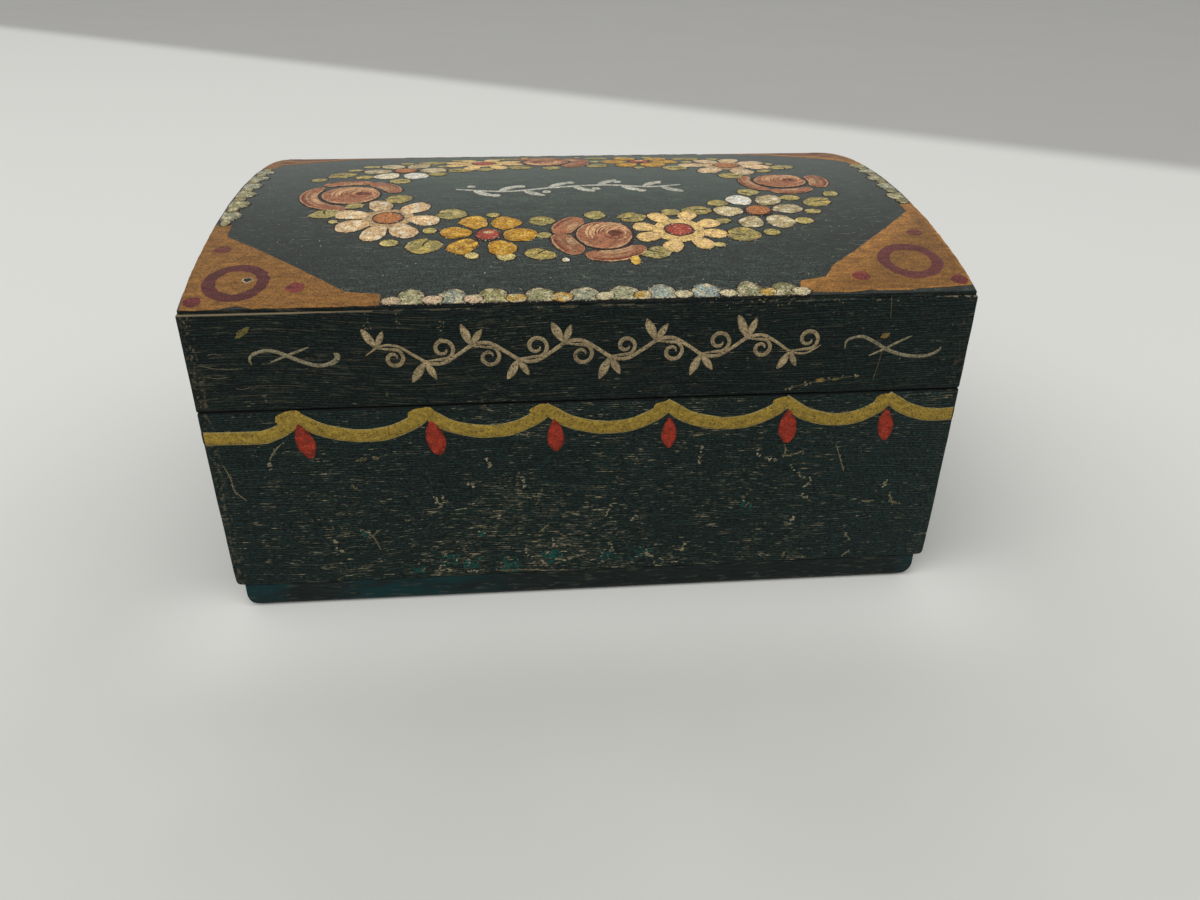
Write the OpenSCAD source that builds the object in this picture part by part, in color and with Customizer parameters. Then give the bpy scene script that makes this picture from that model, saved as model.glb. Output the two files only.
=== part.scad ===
// Small painted wooden jewelry box with an arched lid on two brass butt hinges.
// Millimetres. +Z is up, the front faces -Y, and the origin is the middle of the base's underside.

/* [Box] */
// Width of the box, along X
box_w = 120; // [96:1:200]
// Depth of the box, along Y
box_d = 88; // [64:1:140]
// Height of the body's walls, between the base and the seam
body_h = 33; // [24:1:80]
// Height of the lid's walls, between the seam and the top board
lid_h = 16.3; // [12:0.1:40]
// Thickness of the walls
wall_t = 6; // [5.5:0.5:9]
// Thickness left outside the rabbet at the ends of the front and back walls
lip_t = 3; // [2:0.5:4]
// Radius of the eased outer edges
ease_r = 0.5; // [0.2:0.1:1]

/* [Lid top] */
// Thickness of the top board at its front and back edges
top_edge_t = 0.6; // [0.4:0.1:4]
// Height of the arch above those edges
arch_rise = 5.3; // [2:0.1:12]
// How far the top board stands back from the faces of the lid's walls
top_setback = 0.3; // [0:0.1:1]

/* [Base] */
// Thickness of the base board
base_t = 4.5; // [3.5:0.5:10]
// How far the base board stands back at its two ends
base_end_inset = 1.5; // [0:0.1:3]
// How far the base board stands back at the front and back
base_front_inset = 0.3; // [0:0.1:0.5]
// Radius under the ends of the base board
base_end_round = 2.6; // [1:0.1:3.2]
// Radius under the front and back edges of the base board
base_front_round = 1.2; // [0.5:0.1:1.2]

/* [Hinges] */
// Length of each hinge, along X
hinge_l = 16; // [12:1:24]
// Distance from the end of the box to the middle of a hinge
hinge_from_end = 24; // [22:1:32]
// Width of a leaf, from the pin's axis into the wall
leaf_w = 4.9; // [4.7:0.1:5.2]
// Thickness of a leaf
leaf_t = 0.8; // [0.6:0.1:1]
// Outer radius of the knuckles
knuckle_r = 1.4; // [1.2:0.1:1.6]
// Radius of the hinge pin
pin_r = 0.6; // [0.4:0.05:0.7]
// How far the pin's axis stands out behind the back walls
axis_out = 0.4; // [0.3:0.1:0.8]

/* [Brads] */
// Distance from the end of a leaf to its nearer brad
leaf_brad_from_end = 3; // [1.6:0.1:3.6]
// Distance from the pin's axis to the brads of a leaf
leaf_brad_from_axis = 3.3; // [3.1:0.1:3.5]
// Length of a leaf's brads
leaf_brad_l = 5; // [3:0.5:8]
// Shank radius of a leaf's brads
leaf_brad_r = 0.4; // [0.3:0.05:0.5]
// Head radius of a leaf's brads
leaf_brad_head_r = 0.85; // [0.7:0.05:1]
// Height of the countersunk heads of a leaf's brads
leaf_brad_head_h = 0.5; // [0.3:0.05:0.55]
// How deep the base brads go into the walls
base_brad_bite = 9.5; // [6:0.5:12]
// Shank radius of the base brads
base_brad_r = 0.6; // [0.4:0.1:0.8]
// Head radius of the base brads
base_brad_head_r = 1.2; // [1:0.05:1.2]
// Height of the countersunk heads of the base brads
base_brad_head_h = 0.8; // [0.4:0.1:1.2]
// How deep those heads are sunk under the base
base_brad_sunk = 0.2; // [0.1:0.1:0.6]
// Number of base brads along each long wall
base_brads_per_wall = 4; // [2:1:6]
// Distance from the end of the box to the first base brad
base_brad_from_end = 12; // [11:1:20]
// Distance from the face of a wall to its base brads
base_brad_from_face = 3.2; // [3:0.1:3.5]

/* [Clearances] */
// Gap between the two leaves of a closed hinge
leaf_gap = 0.1; // [0.05:0.05:0.2]
// Gap around a leaf in its mortise
mortise_play = 0.1; // [0.05:0.05:0.2]
// Gap around the knuckles
knuckle_play = 0.25; // [0.2:0.05:0.4]
// Gap between neighbouring knuckles
knuckle_gap = 0.2; // [0.1:0.05:0.4]
// Gap around the pin in its knuckles
pin_play = 0.04; // [0.02:0.01:0.08]
// Gap around a brad in its hole
brad_play = 0.03; // [0.02:0.01:0.06]

/* [Hidden] */

$fn = 64;

// Round holes and cuts run this far past the faces that they open
cut_over = 1;
// Three knuckles: the body's leaf has the outer two and the lid's leaf the middle one
knuckle_count = 3;
body_knuckles = [0, 2];
lid_knuckles = [1];
// Length of a brad's point, in shank radii, and the blunt end's share of the shank radius
point_ratio = 2.5;
point_blunt = 0.2;

seam_z = base_t + body_h;
top_z = seam_z + lid_h;
crest_z = top_z + top_edge_t + arch_rise;
back_y = box_d / 2;
top_w = box_w - 2 * top_setback;
top_d = box_d - 2 * top_setback;
arch_r = (pow(top_d / 2, 2) + pow(arch_rise, 2)) / (2 * arch_rise);
base_w = box_w - 2 * base_end_inset;
base_d = box_d - 2 * base_front_inset;
end_l = box_d - 2 * lip_t;
axis_y = back_y + axis_out;
hinge_x = box_w / 2 - hinge_from_end;
knuckle_l = hinge_l / knuckle_count;
leaf_brad_x = hinge_l / 2 - leaf_brad_from_end;
base_brad_l = base_t - base_brad_sunk + base_brad_bite;
base_brad_y = back_y - base_brad_from_face;
base_brad_first_x = -box_w / 2 + base_brad_from_end;
base_brad_step = (box_w - 2 * base_brad_from_end) / (base_brads_per_wall - 1);

paint_green = "#1d2a27";
top_green = "#2b3a36";
base_teal = "#1f3a3c";
brass = "#b08d4a";
iron = "#5a5550";

// Section of a board, X from 0 at the outer face and Y from 0 at the bottom, with the two outer corners rounded
module eased_section(thickness, height, r) {
    translate([r, 0]) square([thickness - r, height]);
    translate([0, r]) square([r, height - 2 * r]);
    for (y = [r, height - r]) translate([r, y]) circle(r);
}

// Draws a section in X and Y and runs it along X, with the section's X along Y and its Y along Z
module along_x(length) {
    rotate([90, 0, 90]) linear_extrude(length, center = true) children();
}

// Draws a section in X and Y and runs it along Y, with the section's Y along Z
module along_y(length) {
    rotate([90, 0, 0]) linear_extrude(length, center = true) children();
}

// Front or back wall: outer face at Y 0, inner face at Y wall_t, rabbeted inside at both ends for the end walls
module long_wall(height) {
    difference() {
        intersection() {
            along_x(box_w) eased_section(wall_t, height, ease_r);
            linear_extrude(height) translate([-box_w / 2, 0])
                mirror([1, -1]) eased_section(wall_t, box_w, ease_r);
        }
        for (side = [-1, 1])
            translate([side * box_w / 2, lip_t + wall_t / 2, height / 2])
                cube([2 * wall_t, wall_t, height + 2 * cut_over], center = true);
    }
}

// End wall: outer face at X 0, inner face at X wall_t, with its ends against the lips of the long walls
module end_wall(height) {
    along_y(end_l) eased_section(wall_t, height, ease_r);
}

// Brad with its head's face at Z 0 and its point downwards
module brad(length, r, head_r, head_h) {
    point_h = r * point_ratio;
    translate([0, 0, -head_h]) cylinder(head_h, r, head_r);
    translate([0, 0, -(length - point_h)]) cylinder(length - point_h - head_h, r = r);
    translate([0, 0, -length]) cylinder(point_h, r * point_blunt, r);
}

// Hole that a brad goes into, with its countersink's mouth at Z 0
module brad_hole(length, r, head_r, head_h) {
    translate([0, 0, -head_h]) cylinder(head_h, r + brad_play, head_r + brad_play);
    translate([0, 0, -length - brad_play]) cylinder(length + brad_play, r = r + brad_play);
    cylinder(cut_over, r = head_r + brad_play);
}

// Moves to the hinge on one side, with the pin's axis along X and the walls towards -Y
module at_hinge(side) {
    translate([side * hinge_x, axis_y, seam_z]) children();
}

// Moves to each brad of a leaf, on the leaf's face and with the wall below it
module at_leaf_brads() {
    for (x = [-1, 1] * leaf_brad_x)
        translate([x, -leaf_brad_from_axis, -leaf_gap / 2]) children();
}

module leaf_brads() {
    at_leaf_brads() brad(leaf_brad_l, leaf_brad_r, leaf_brad_head_r, leaf_brad_head_h);
}

// Leaf of the body, below the seam, with the knuckles that are listed
module leaf(knuckles) {
    inner_y = -knuckle_r - knuckle_play;
    difference() {
        union() {
            translate([-hinge_l / 2, -leaf_w, -leaf_gap / 2 - leaf_t])
                cube([hinge_l, leaf_w + inner_y, leaf_t]);
            for (k = knuckles) {
                low = -hinge_l / 2 + k * knuckle_l + (k > 0 ? knuckle_gap / 2 : 0);
                high = -hinge_l / 2 + (k + 1) * knuckle_l - (k < knuckle_count - 1 ? knuckle_gap / 2 : 0);
                translate([low, inner_y - leaf_t, -leaf_gap / 2 - leaf_t])
                    cube([high - low, leaf_t - inner_y, leaf_t]);
                translate([low, 0, 0]) rotate([0, 90, 0]) cylinder(high - low, r = knuckle_r);
            }
        }
        rotate([0, 90, 0]) cylinder(hinge_l + 2 * cut_over, r = pin_r + pin_play, center = true);
        at_leaf_brads() brad_hole(leaf_brad_l, leaf_brad_r, leaf_brad_head_r, leaf_brad_head_h);
    }
}

// What a hinge takes out of the wall below the seam: the leaf's mortise, the knuckles' groove and the brads' holes
module hinge_cut() {
    mortise_l = hinge_l + 2 * mortise_play;
    mortise_w = leaf_w + mortise_play;
    mortise_t = leaf_t + leaf_gap / 2;
    translate([-mortise_l / 2, -mortise_w, -mortise_t])
        cube([mortise_l, mortise_w + cut_over, mortise_t + cut_over]);
    rotate([0, 90, 0])
        cylinder(hinge_l + 2 * knuckle_play, r = knuckle_r + knuckle_play, center = true);
    at_leaf_brads() brad_hole(leaf_brad_l, leaf_brad_r, leaf_brad_r, leaf_brad_head_h);
}

// Turns a piece that is drawn below the seam into the lid's, above it
module above_seam() {
    mirror([0, 0, 1]) children();
}

// Moves to each base brad, on the underside of the base and with the base above it
module at_base_brads(walls) {
    for (wall = walls, i = [0 : base_brads_per_wall - 1])
        translate([base_brad_first_x + i * base_brad_step, wall * base_brad_y, 0])
            mirror([0, 0, 1]) children();
}

module base_brad_holes(walls) {
    at_base_brads(walls)
        translate([0, 0, -base_brad_sunk])
            brad_hole(base_brad_l, base_brad_r, base_brad_head_r, base_brad_head_h);
}

module base_board() {
    color(base_teal)
    difference() {
        intersection() {
            along_y(base_d) under_rounded(base_w, base_end_round);
            along_x(base_w) under_rounded(base_d, base_front_round);
        }
        base_brad_holes([-1, 1]);
    }
}

// Section of the base, centred in X and with its two lower corners rounded
module under_rounded(width, r) {
    translate([-width / 2, r]) square([width, base_t - r]);
    translate([-width / 2 + r, 0]) square([width - 2 * r, r]);
    for (x = [-1, 1] * (width / 2 - r)) translate([x, r]) circle(r);
}

module base_brads() {
    color(iron)
    at_base_brads([-1, 1])
        translate([0, 0, -base_brad_sunk])
            brad(base_brad_l, base_brad_r, base_brad_head_r, base_brad_head_h);
}

module body_front() {
    color(paint_green)
    difference() {
        translate([0, -box_d / 2, base_t]) long_wall(body_h);
        base_brad_holes([-1]);
    }
}

module body_back() {
    color(paint_green)
    difference() {
        translate([0, back_y, base_t]) rotate(180) long_wall(body_h);
        base_brad_holes([1]);
        for (side = [-1, 1]) at_hinge(side) hinge_cut();
    }
}

module body_end(side) {
    color(paint_green)
    translate([side * box_w / 2, 0, base_t]) rotate(side > 0 ? 180 : 0) end_wall(body_h);
}

module lid_front() {
    color(paint_green) translate([0, -box_d / 2, seam_z]) long_wall(lid_h);
}

module lid_back() {
    color(paint_green)
    difference() {
        translate([0, back_y, seam_z]) rotate(180) long_wall(lid_h);
        for (side = [-1, 1]) at_hinge(side) above_seam() hinge_cut();
    }
}

module lid_end(side) {
    color(paint_green)
    translate([side * box_w / 2, 0, seam_z]) rotate(side > 0 ? 180 : 0) end_wall(lid_h);
}

// Top board: flat below and planed to an arch above, front to back
module lid_top() {
    color(top_green)
    intersection() {
        translate([-top_w / 2, -top_d / 2, top_z]) cube([top_w, top_d, crest_z - top_z]);
        translate([0, 0, crest_z - arch_r]) rotate([0, 90, 0])
            cylinder(box_w, r = arch_r, center = true, $fn = 720);
    }
}

module hinge_body_leaf(side) {
    color(brass) at_hinge(side) leaf(body_knuckles);
}

module hinge_lid_leaf(side) {
    color(brass) at_hinge(side) above_seam() leaf(lid_knuckles);
}

module hinge_pin(side) {
    color(iron) at_hinge(side) rotate([0, 90, 0]) cylinder(hinge_l, r = pin_r, center = true);
}

module hinge_body_brads(side) {
    color(brass) at_hinge(side) leaf_brads();
}

module hinge_lid_brads(side) {
    color(brass) at_hinge(side) above_seam() leaf_brads();
}

base_board();
base_brads();
body_front();
body_back();
body_end(-1);  // body_left_end
body_end(1);  // body_right_end
lid_front();
lid_back();
lid_end(-1);  // lid_left_end
lid_end(1);  // lid_right_end
lid_top();
hinge_body_leaf(-1);  // left_hinge_body_leaf
hinge_lid_leaf(-1);  // left_hinge_lid_leaf
hinge_pin(-1);  // left_hinge_pin
hinge_body_brads(-1);  // left_hinge_body_brads
hinge_lid_brads(-1);  // left_hinge_lid_brads
hinge_body_leaf(1);  // right_hinge_body_leaf
hinge_lid_leaf(1);  // right_hinge_lid_leaf
hinge_pin(1);  // right_hinge_pin
hinge_body_brads(1);  // right_hinge_body_brads
hinge_lid_brads(1);  // right_hinge_lid_brads
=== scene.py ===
"""Looks of the painted jewelry box: worn boards and brushed ornament on the CAD frame.

Blender works in metres. The helpers here work in millimetres in the part's own frame:
+X to the right, the front at -Y, +Z up, the origin under the middle of the base board.
"""
import math
import random

import bmesh
import bpy
import numpy as np
from mathutils import Matrix, Vector, noise


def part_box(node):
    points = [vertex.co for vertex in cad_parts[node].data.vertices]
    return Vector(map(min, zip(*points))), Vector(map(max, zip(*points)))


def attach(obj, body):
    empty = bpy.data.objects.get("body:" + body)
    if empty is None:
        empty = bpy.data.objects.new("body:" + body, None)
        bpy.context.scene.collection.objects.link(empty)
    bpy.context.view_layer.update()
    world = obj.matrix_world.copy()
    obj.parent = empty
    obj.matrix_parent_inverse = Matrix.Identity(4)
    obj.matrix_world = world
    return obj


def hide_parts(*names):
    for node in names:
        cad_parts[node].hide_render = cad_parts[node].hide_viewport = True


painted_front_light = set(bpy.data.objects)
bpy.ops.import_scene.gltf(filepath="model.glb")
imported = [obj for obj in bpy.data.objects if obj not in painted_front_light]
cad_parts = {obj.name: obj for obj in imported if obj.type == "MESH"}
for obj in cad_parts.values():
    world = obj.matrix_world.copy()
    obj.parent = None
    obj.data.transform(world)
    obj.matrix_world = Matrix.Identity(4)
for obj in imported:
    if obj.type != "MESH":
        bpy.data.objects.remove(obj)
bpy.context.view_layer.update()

MM = 0.001
rng = random.Random(7)


def box_mm(node):
    """Lowest and highest corner of a CAD node in millimetres."""
    low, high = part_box(node)
    return np.array(low) / MM, np.array(high) / MM


# Places of the boards, from the CAD frame; the lid top is TOP_EDGE thick at its front and back
front_low, front_high = box_mm("body_front")
end_low, end_high = box_mm("body_right_end")
top_low, top_high = box_mm("lid_top")
_, FRONT_Y, BODY_Z = front_low
HALF_W, _, SEAM_Z = front_high
TOP_HALF_W, TOP_HALF_D, TOP_Z = top_high
LID_Z = box_mm("lid_front")[1][2]
BACK_Y = -FRONT_Y
WALL = front_high[1] - FRONT_Y
LIP = end_low[1] - FRONT_Y
END_HALF = end_high[1]
TOP_EDGE = 0.6
TOP_RISE = TOP_Z - top_low[2] - TOP_EDGE
TOP_RADIUS = (TOP_HALF_D ** 2 + TOP_RISE ** 2) / (2 * TOP_RISE)
BOX_DEPTH = BACK_Y - FRONT_Y

# How far the painted faces lie inside the CAD faces, and the foot of the raised paint inside its face
SKIN = 0.15
EMBED = 0.07
# Sag of the lid's front edge and how far back it goes, further drop of the joint under it, lean of the ends
FRONT_SAG, SAG_REACH = 0.3, 9.0
JOINT_DROP = 0.12
LEAN = 0.25
LID_FRONT_Z = LID_Z - FRONT_SAG - JOINT_DROP

# Gap between the grain lines of the wood under the paint, and between the lines of the boards' grids
LINE_GAP = 0.38
GRID_STEP = 1.5
# Radius of the arrises in front and elsewhere; boxes that reach past a board leave its other arrises sharp
FRONT_ARRIS, ARRIS = 0.42, 0.34
PAST_WALL, PAST_END = 30, 5


def linear(rgb):
    """Linear colour from sRGB values of 0 to 255."""
    c = np.asarray(rgb, float) / 255
    return np.where(c <= 0.04045, c / 12.92, ((c + 0.055) / 1.055) ** 2.4)


def rgba(colour):
    """A signal as it is, or sRGB values as linear colour with alpha."""
    return colour if isinstance(colour, Signal) else (*linear(colour), 1.0)


def wobble(x, y, z=0.0):
    """Smooth noise from -1 to 1."""
    return noise.noise(Vector((x, y, z)))


def dent(u, v):
    """How far a hand-planed face dips at a place, in millimetres."""
    depth, long, tall, layer = 0.02, 9, 6, 3.3
    return depth + depth * wobble(u / long, v / tall, layer)


# Node materials
OBJECT_OUTPUT = 3
MIX_A, MIX_B, MIX_OUTPUT = 6, 7, 2


class Signal:
    """A node's output, joined to numbers and other outputs by plain arithmetic."""

    # Lets a numpy number on the left give way to the methods below
    __array_ufunc__ = None

    def __init__(self, shader, socket):
        self.shader, self.socket = shader, socket

    def __add__(self, other):
        return self.shader.math("ADD", self, other)

    def __sub__(self, other):
        return self.shader.math("SUBTRACT", self, other)

    def __rsub__(self, other):
        return self.shader.math("SUBTRACT", other, self)

    def __mul__(self, other):
        return self.shader.math("MULTIPLY", self, other)

    def __abs__(self):
        return self.shader.math("ABSOLUTE", self)

    def ramp(self, low, high, to_low=0.0, to_high=1.0):
        """A smooth step from one level where this is low to another where it is high."""
        inputs = dict(enumerate((self, low, high, to_low, to_high)))
        return self.shader.node("MapRange", inputs, interpolation_type="SMOOTHSTEP")[0]


class Shader:
    """A material on one Principled shader, with short calls that add its nodes."""

    def __init__(self, name, **fixed):
        self.material = bpy.data.materials.new(name)
        self.material.use_nodes = True
        self.tree = self.material.node_tree
        self.tree.nodes.clear()
        output = self.tree.nodes.new("ShaderNodeOutputMaterial")
        self.surface = self.tree.nodes.new("ShaderNodeBsdfPrincipled")
        self.tree.links.new(self.surface.outputs[0], output.inputs[0])
        for socket, value in fixed.items():
            self.surface.inputs[socket.replace("_", " ")].default_value = value
        place = self.node("TexCoord", {})[OBJECT_OUTPUT]
        self.place = self.vector("MULTIPLY", place, (1 / MM,) * 3)
        self.paint = None

    def feed(self, socket, value):
        """Links a signal to a socket, or sets a plain value there."""
        if isinstance(value, Signal):
            self.tree.links.new(value.socket, socket)
        else:
            socket.default_value = value

    def node(self, kind, inputs, **settings):
        """The outputs of a new node with the given settings and inputs."""
        node = self.tree.nodes.new("ShaderNode" + kind)
        for setting, value in settings.items():
            setattr(node, setting, value)
        for socket, value in inputs.items():
            self.feed(node.inputs[socket], value)
        return [Signal(self, output) for output in node.outputs]

    def vector(self, operation, a, b):
        return self.node("VectorMath", {0: a, 1: b}, operation=operation)[0]

    def math(self, operation, a, b=0.0):
        return self.node("Math", {0: a, 1: b}, operation=operation)[0]

    def most(self, a, b):
        return self.math("MAXIMUM", a, b)

    def least(self, a, b):
        return self.math("MINIMUM", a, b)

    def axes(self, bend=None):
        """Place along each axis in millimetres, moved by a bend when one is given."""
        place = self.place if bend is None else self.vector("ADD", self.place, bend)
        return self.node("SeparateXYZ", {0: place})

    def texture(self, place, detail, rough):
        """The grey and the coloured output of a noise texture."""
        return self.node("TexNoise", {"Vector": place, "Scale": 1.0, "Detail": detail, "Roughness": rough})

    def drift(self, per_mm, reach, shift):
        """A slow wander along each axis, up to half the given reach to either side."""
        moved = self.vector("ADD", self.place, (shift,) * 3)
        colour = self.texture(self.vector("MULTIPLY", moved, (per_mm,) * 3), 1.0, 0.5)[1]
        return self.vector("MULTIPLY", self.vector("SUBTRACT", colour, (0.5,) * 3), reach)

    def noise(self, per_mm, detail, rough, shift, bend=None):
        """Noise with so many bumps per millimetre, one number or one for each axis, at a shifted place."""
        moved = self.vector("ADD", self.place, (shift, shift * 0.7, shift * 1.3))
        if bend is not None:
            moved = self.vector("ADD", moved, bend)
        scale = (per_mm,) * 3 if isinstance(per_mm, float) else per_mm
        return self.texture(self.vector("MULTIPLY", moved, scale), detail, rough)[0]

    def mix(self, share, a, b):
        """One colour turned into another by a share."""
        inputs = {0: share, MIX_A: rgba(a), MIX_B: rgba(b)}
        return self.node("Mix", inputs, data_type="RGBA")[MIX_OUTPUT]

    def lay(self, share, colour):
        """Lays a colour over the paint so far by a share."""
        self.paint = self.mix(share, self.paint, colour)

    def multiply(self, factor):
        """Makes the paint so far darker or lighter by a factor."""
        self.paint = self.node("VectorMath", {0: self.paint, "Scale": factor}, operation="SCALE")[0]

    def tint(self):
        """The colour painted on the piece's own points."""
        return self.node("Attribute", {}, attribute_name="tint")[0]

    def finish(self, rough, height, depth):
        """The material of the paint so far, with a roughness and a bump of a depth in millimetres."""
        bump = self.node("Bump", {"Strength": 1.0, "Distance": depth * MM, "Height": height})[0]
        for socket, value in (("Base Color", self.paint), ("Roughness", rough), ("Normal", bump)):
            self.feed(self.surface.inputs[socket], value)
        return self.material


def along(grain, fine, length):
    """Bumps per millimetre for streaks that run along the grain axis."""
    return tuple(length if axis == grain else fine for axis in "xyz")


def bare_wood(s, grain):
    """Colour of the unpainted wood with its growth lines."""
    growth = s.noise(along(grain, 1.1, 0.03), 3.0, 0.6, 11.0)
    fibre = s.noise(along(grain, 6.0, 0.35), 2.0, 0.6, 5.0)
    tone = s.mix(growth.ramp(0.35, 0.65), (148, 112, 72), (178, 142, 98))
    return s.mix(fibre.ramp(0.58, 0.70, 0.0, 0.55), tone, (104, 74, 46))


def board_paint(name, grain, z_low, z_high, crowd, shade, wear):
    """Dark worn paint on open-grained wood; wear is the wood's share at the top, bottom and side arrises."""
    s = Shader(name, Specular_IOR_Level=0.11)
    x, y, z = s.axes()
    from_x = HALF_W - SKIN - abs(x)
    from_y = BACK_Y - SKIN - abs(y)

    # Ragged lines along the arrises, where the wood shows
    rag = s.noise(0.35, 4.0, 0.7, 2.0).ramp(0.44, 0.62, 0.40, -0.06)
    crumb = s.noise((1.9, 1.9, 1.3), 3.0, 0.7, 71.0).ramp(0.53, 0.61)
    at_left = x.ramp(-18, -46)
    at_right = x.ramp(40, 50, 0.3, 0.9)
    joint = rag * (1.0 - at_left) + (z_high - z)
    top_line = joint.ramp(0.26, 0.15, 0.0, wear[0]) * s.most(at_left, at_right)
    low_line = (z - z_low + rag).ramp(0.30, 0.10, 0.0, wear[1])
    off_arris = abs(s.most(from_x, from_y) - 1.3)
    side_line = off_arris.ramp(1.2, 0.3, 0.0, wear[2]) * crumb * x.ramp(-20, 20, 0.85, 0.25)
    edge = s.most(top_line, s.most(low_line, side_line))

    # Flecked paint, lighter to the right; packed is how close the grain lines lie
    bend = s.drift(0.02, along(grain, 7.0, 0.0), 5.0)
    fleck = s.noise(along(grain, 4.2, 2.0), 3.0, 0.7, 14.0, bend)
    s.paint = s.mix(fleck.ramp(0.30, 0.70), (2, 8, 8), (31, 46, 43))
    s.multiply(x.ramp(25, 58, shade, 1.25 * shade))
    cloud = s.noise((0.04, 0.04, 0.07), 2.0, 0.5, 9.0).ramp(0.36, 0.64)
    midway = abs(x + 4.0).ramp(52, 12)
    low_down = z.ramp(BODY_Z + 28, BODY_Z + 8) * midway
    packed = cloud * (0.4 * crowd) + midway * (0.23 * crowd) + low_down * (0.22 * crowd)

    # Grain lines where the paint is rubbed off: in hatched patches, and lone ones
    dash_tone = s.noise(along(grain, 1.6, 0.45), 2.0, 0.6, 17.0, bend).ramp(0.46, 0.70)
    stray = s.noise(along(grain, 0.9, 0.05), 2.0, 0.6, 44.0, bend)
    phase = s.axes(bend)[2] * (2 * math.pi / LINE_GAP)
    row = s.math("SINE", phase + stray * 14.0).ramp(0.2, 0.85)
    start = 0.62 - packed * 0.17
    patch = s.noise(along(grain, 0.55, 0.22), 3.0, 0.6, 6.0, bend).ramp(start, start + 0.12)
    chop = s.noise(along(grain, 3.6, 1.7), 2.0, 0.6, 9.0, bend).ramp(0.40, 0.52)
    lone = s.noise(along(grain, 5.2, 0.5), 1.5, 0.5, 1.0, bend).ramp(start + 0.06, start + 0.13)
    dash = s.most(row * (patch * chop), lone * chop)
    s.multiply(row.ramp(0.0, 1.0, 0.5 + 0.16 * shade, 2.42 - 0.82 * shade))
    streak = s.noise(along(grain, 3.6, 0.15), 2.0, 0.6, 33.0, bend).ramp(0.54, 0.70, 0.0, 2.3 * (1 - shade))
    streak = streak * chop.ramp(0.0, 1.0, 0.35, 1.0) * x.ramp(20, -40, 0.4, 1.0)
    s.lay(streak, (66, 62, 50))
    s.lay(dash * (0.82 * shade ** 1.5), s.mix(dash_tone, (70, 74, 62), (164, 152, 120)))

    # Specks, scuffs, bare arrises, painted shade along the seam under the lid, and bare wood inside
    speck = s.noise((1.3, 1.3, 1.5), 3.0, 0.7, 41.0).ramp(0.725, 0.77)
    scuff = s.noise((0.5, 0.5, 0.45), 4.0, 0.8, 52.0).ramp(0.665, 0.72) * fleck.ramp(0.42, 0.60)
    s.lay(s.most(speck * 0.6, scuff * 0.7), (122, 108, 80))
    wood = bare_wood(s, grain)
    s.lay(edge, s.mix(0.2, (108, 102, 83), wood))
    # Painted shade along the seam gap between lid and body
    s.lay(abs(z - SEAM_Z).ramp(0.45, 0.12, 0.0, 0.9), (3, 6, 6))
    s.lay(s.least(from_x, from_y).ramp(0.75, 0.95), wood)
    return s.finish(fleck.ramp(0.3, 0.7, 0.42, 0.62), fleck * 0.8 - dash, 0.05)


def top_paint(name):
    """The lid top's paint: the same dark green with a fine fleck, pale dashes and specks, with painted sheen
    towards the rear and painted shade at the front edge.
    """
    s = Shader(name, Specular_IOR_Level=0.36)
    x, y, z = s.axes()
    cloud = s.noise(0.05, 2.0, 0.5, 9.0)
    fibre = s.noise((0.45, 3.6, 3.6), 2.0, 0.55, 1.0)
    hair = s.noise((0.3, 2.0, 2.0), 3.0, 0.6, 4.0)
    fleck = s.noise((3.2, 2.1, 2.1), 2.0, 0.75, 7.0)
    band = s.noise((0.05, 0.30, 0.30), 3.0, 0.6, 23.0)
    ridge = s.noise((0.25, 1.1, 1.1), 2.0, 0.6, 55.0)
    tone = fleck * 0.72 + hair * 0.28
    s.paint = s.mix(tone.ramp(0.40, 0.60), (0, 5, 3), (57, 72, 62))
    # Painted sheen: the paint grows lighter towards the rear of the arch, where grazing sheen falls; it also
    # varies in bands and ridges, and is darker towards the ends
    for factor in (y.ramp(FRONT_Y + 12, FRONT_Y + 52, 0.70, 1.48), band.ramp(0.3, 0.7, 0.88, 1.12),
                   ridge.ramp(0.34, 0.66, 0.78, 1.22), abs(x).ramp(24, 44, 1.0, 0.64)):
        s.multiply(factor)
    limit = 0.655 - cloud.ramp(0.3, 0.7, -0.03, 0.05)
    dash = fibre.ramp(limit, limit + 0.06)
    speck = s.noise((1.7, 1.3, 1.3), 3.0, 0.7, 31.0).ramp(0.665, 0.715)
    s.lay(dash * 0.6, (108, 110, 95))
    s.lay(speck * 0.75, (160, 158, 144))
    from_x = TOP_HALF_W - SKIN - abs(x)
    from_front = y - (FRONT_Y + SKIN)
    # Painted shade: the paint darkens within a millimetre of the front edge, where the arris turns to face
    # the front
    s.lay(from_front.ramp(0.8, 0.4, 0.0, 0.8), (10, 16, 15))
    rag = s.noise(0.35, 4.0, 0.7, 2.0).ramp(0.46, 0.66, 0.42, -0.02)
    arris = s.least(from_x, from_front) + rag
    s.lay(arris.ramp(0.20, 0.06, 0.0, 0.6), (104, 90, 66))
    inside = z.ramp(LID_Z + 0.09, LID_Z + 0.02) * y.ramp(FRONT_Y + 1.0, FRONT_Y + 1.6)
    s.lay(inside, bare_wood(s, "x"))
    return s.finish(tone.ramp(0.35, 0.65, 0.38, 0.56), tone * 0.9 - dash * 0.4, 0.07)


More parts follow.
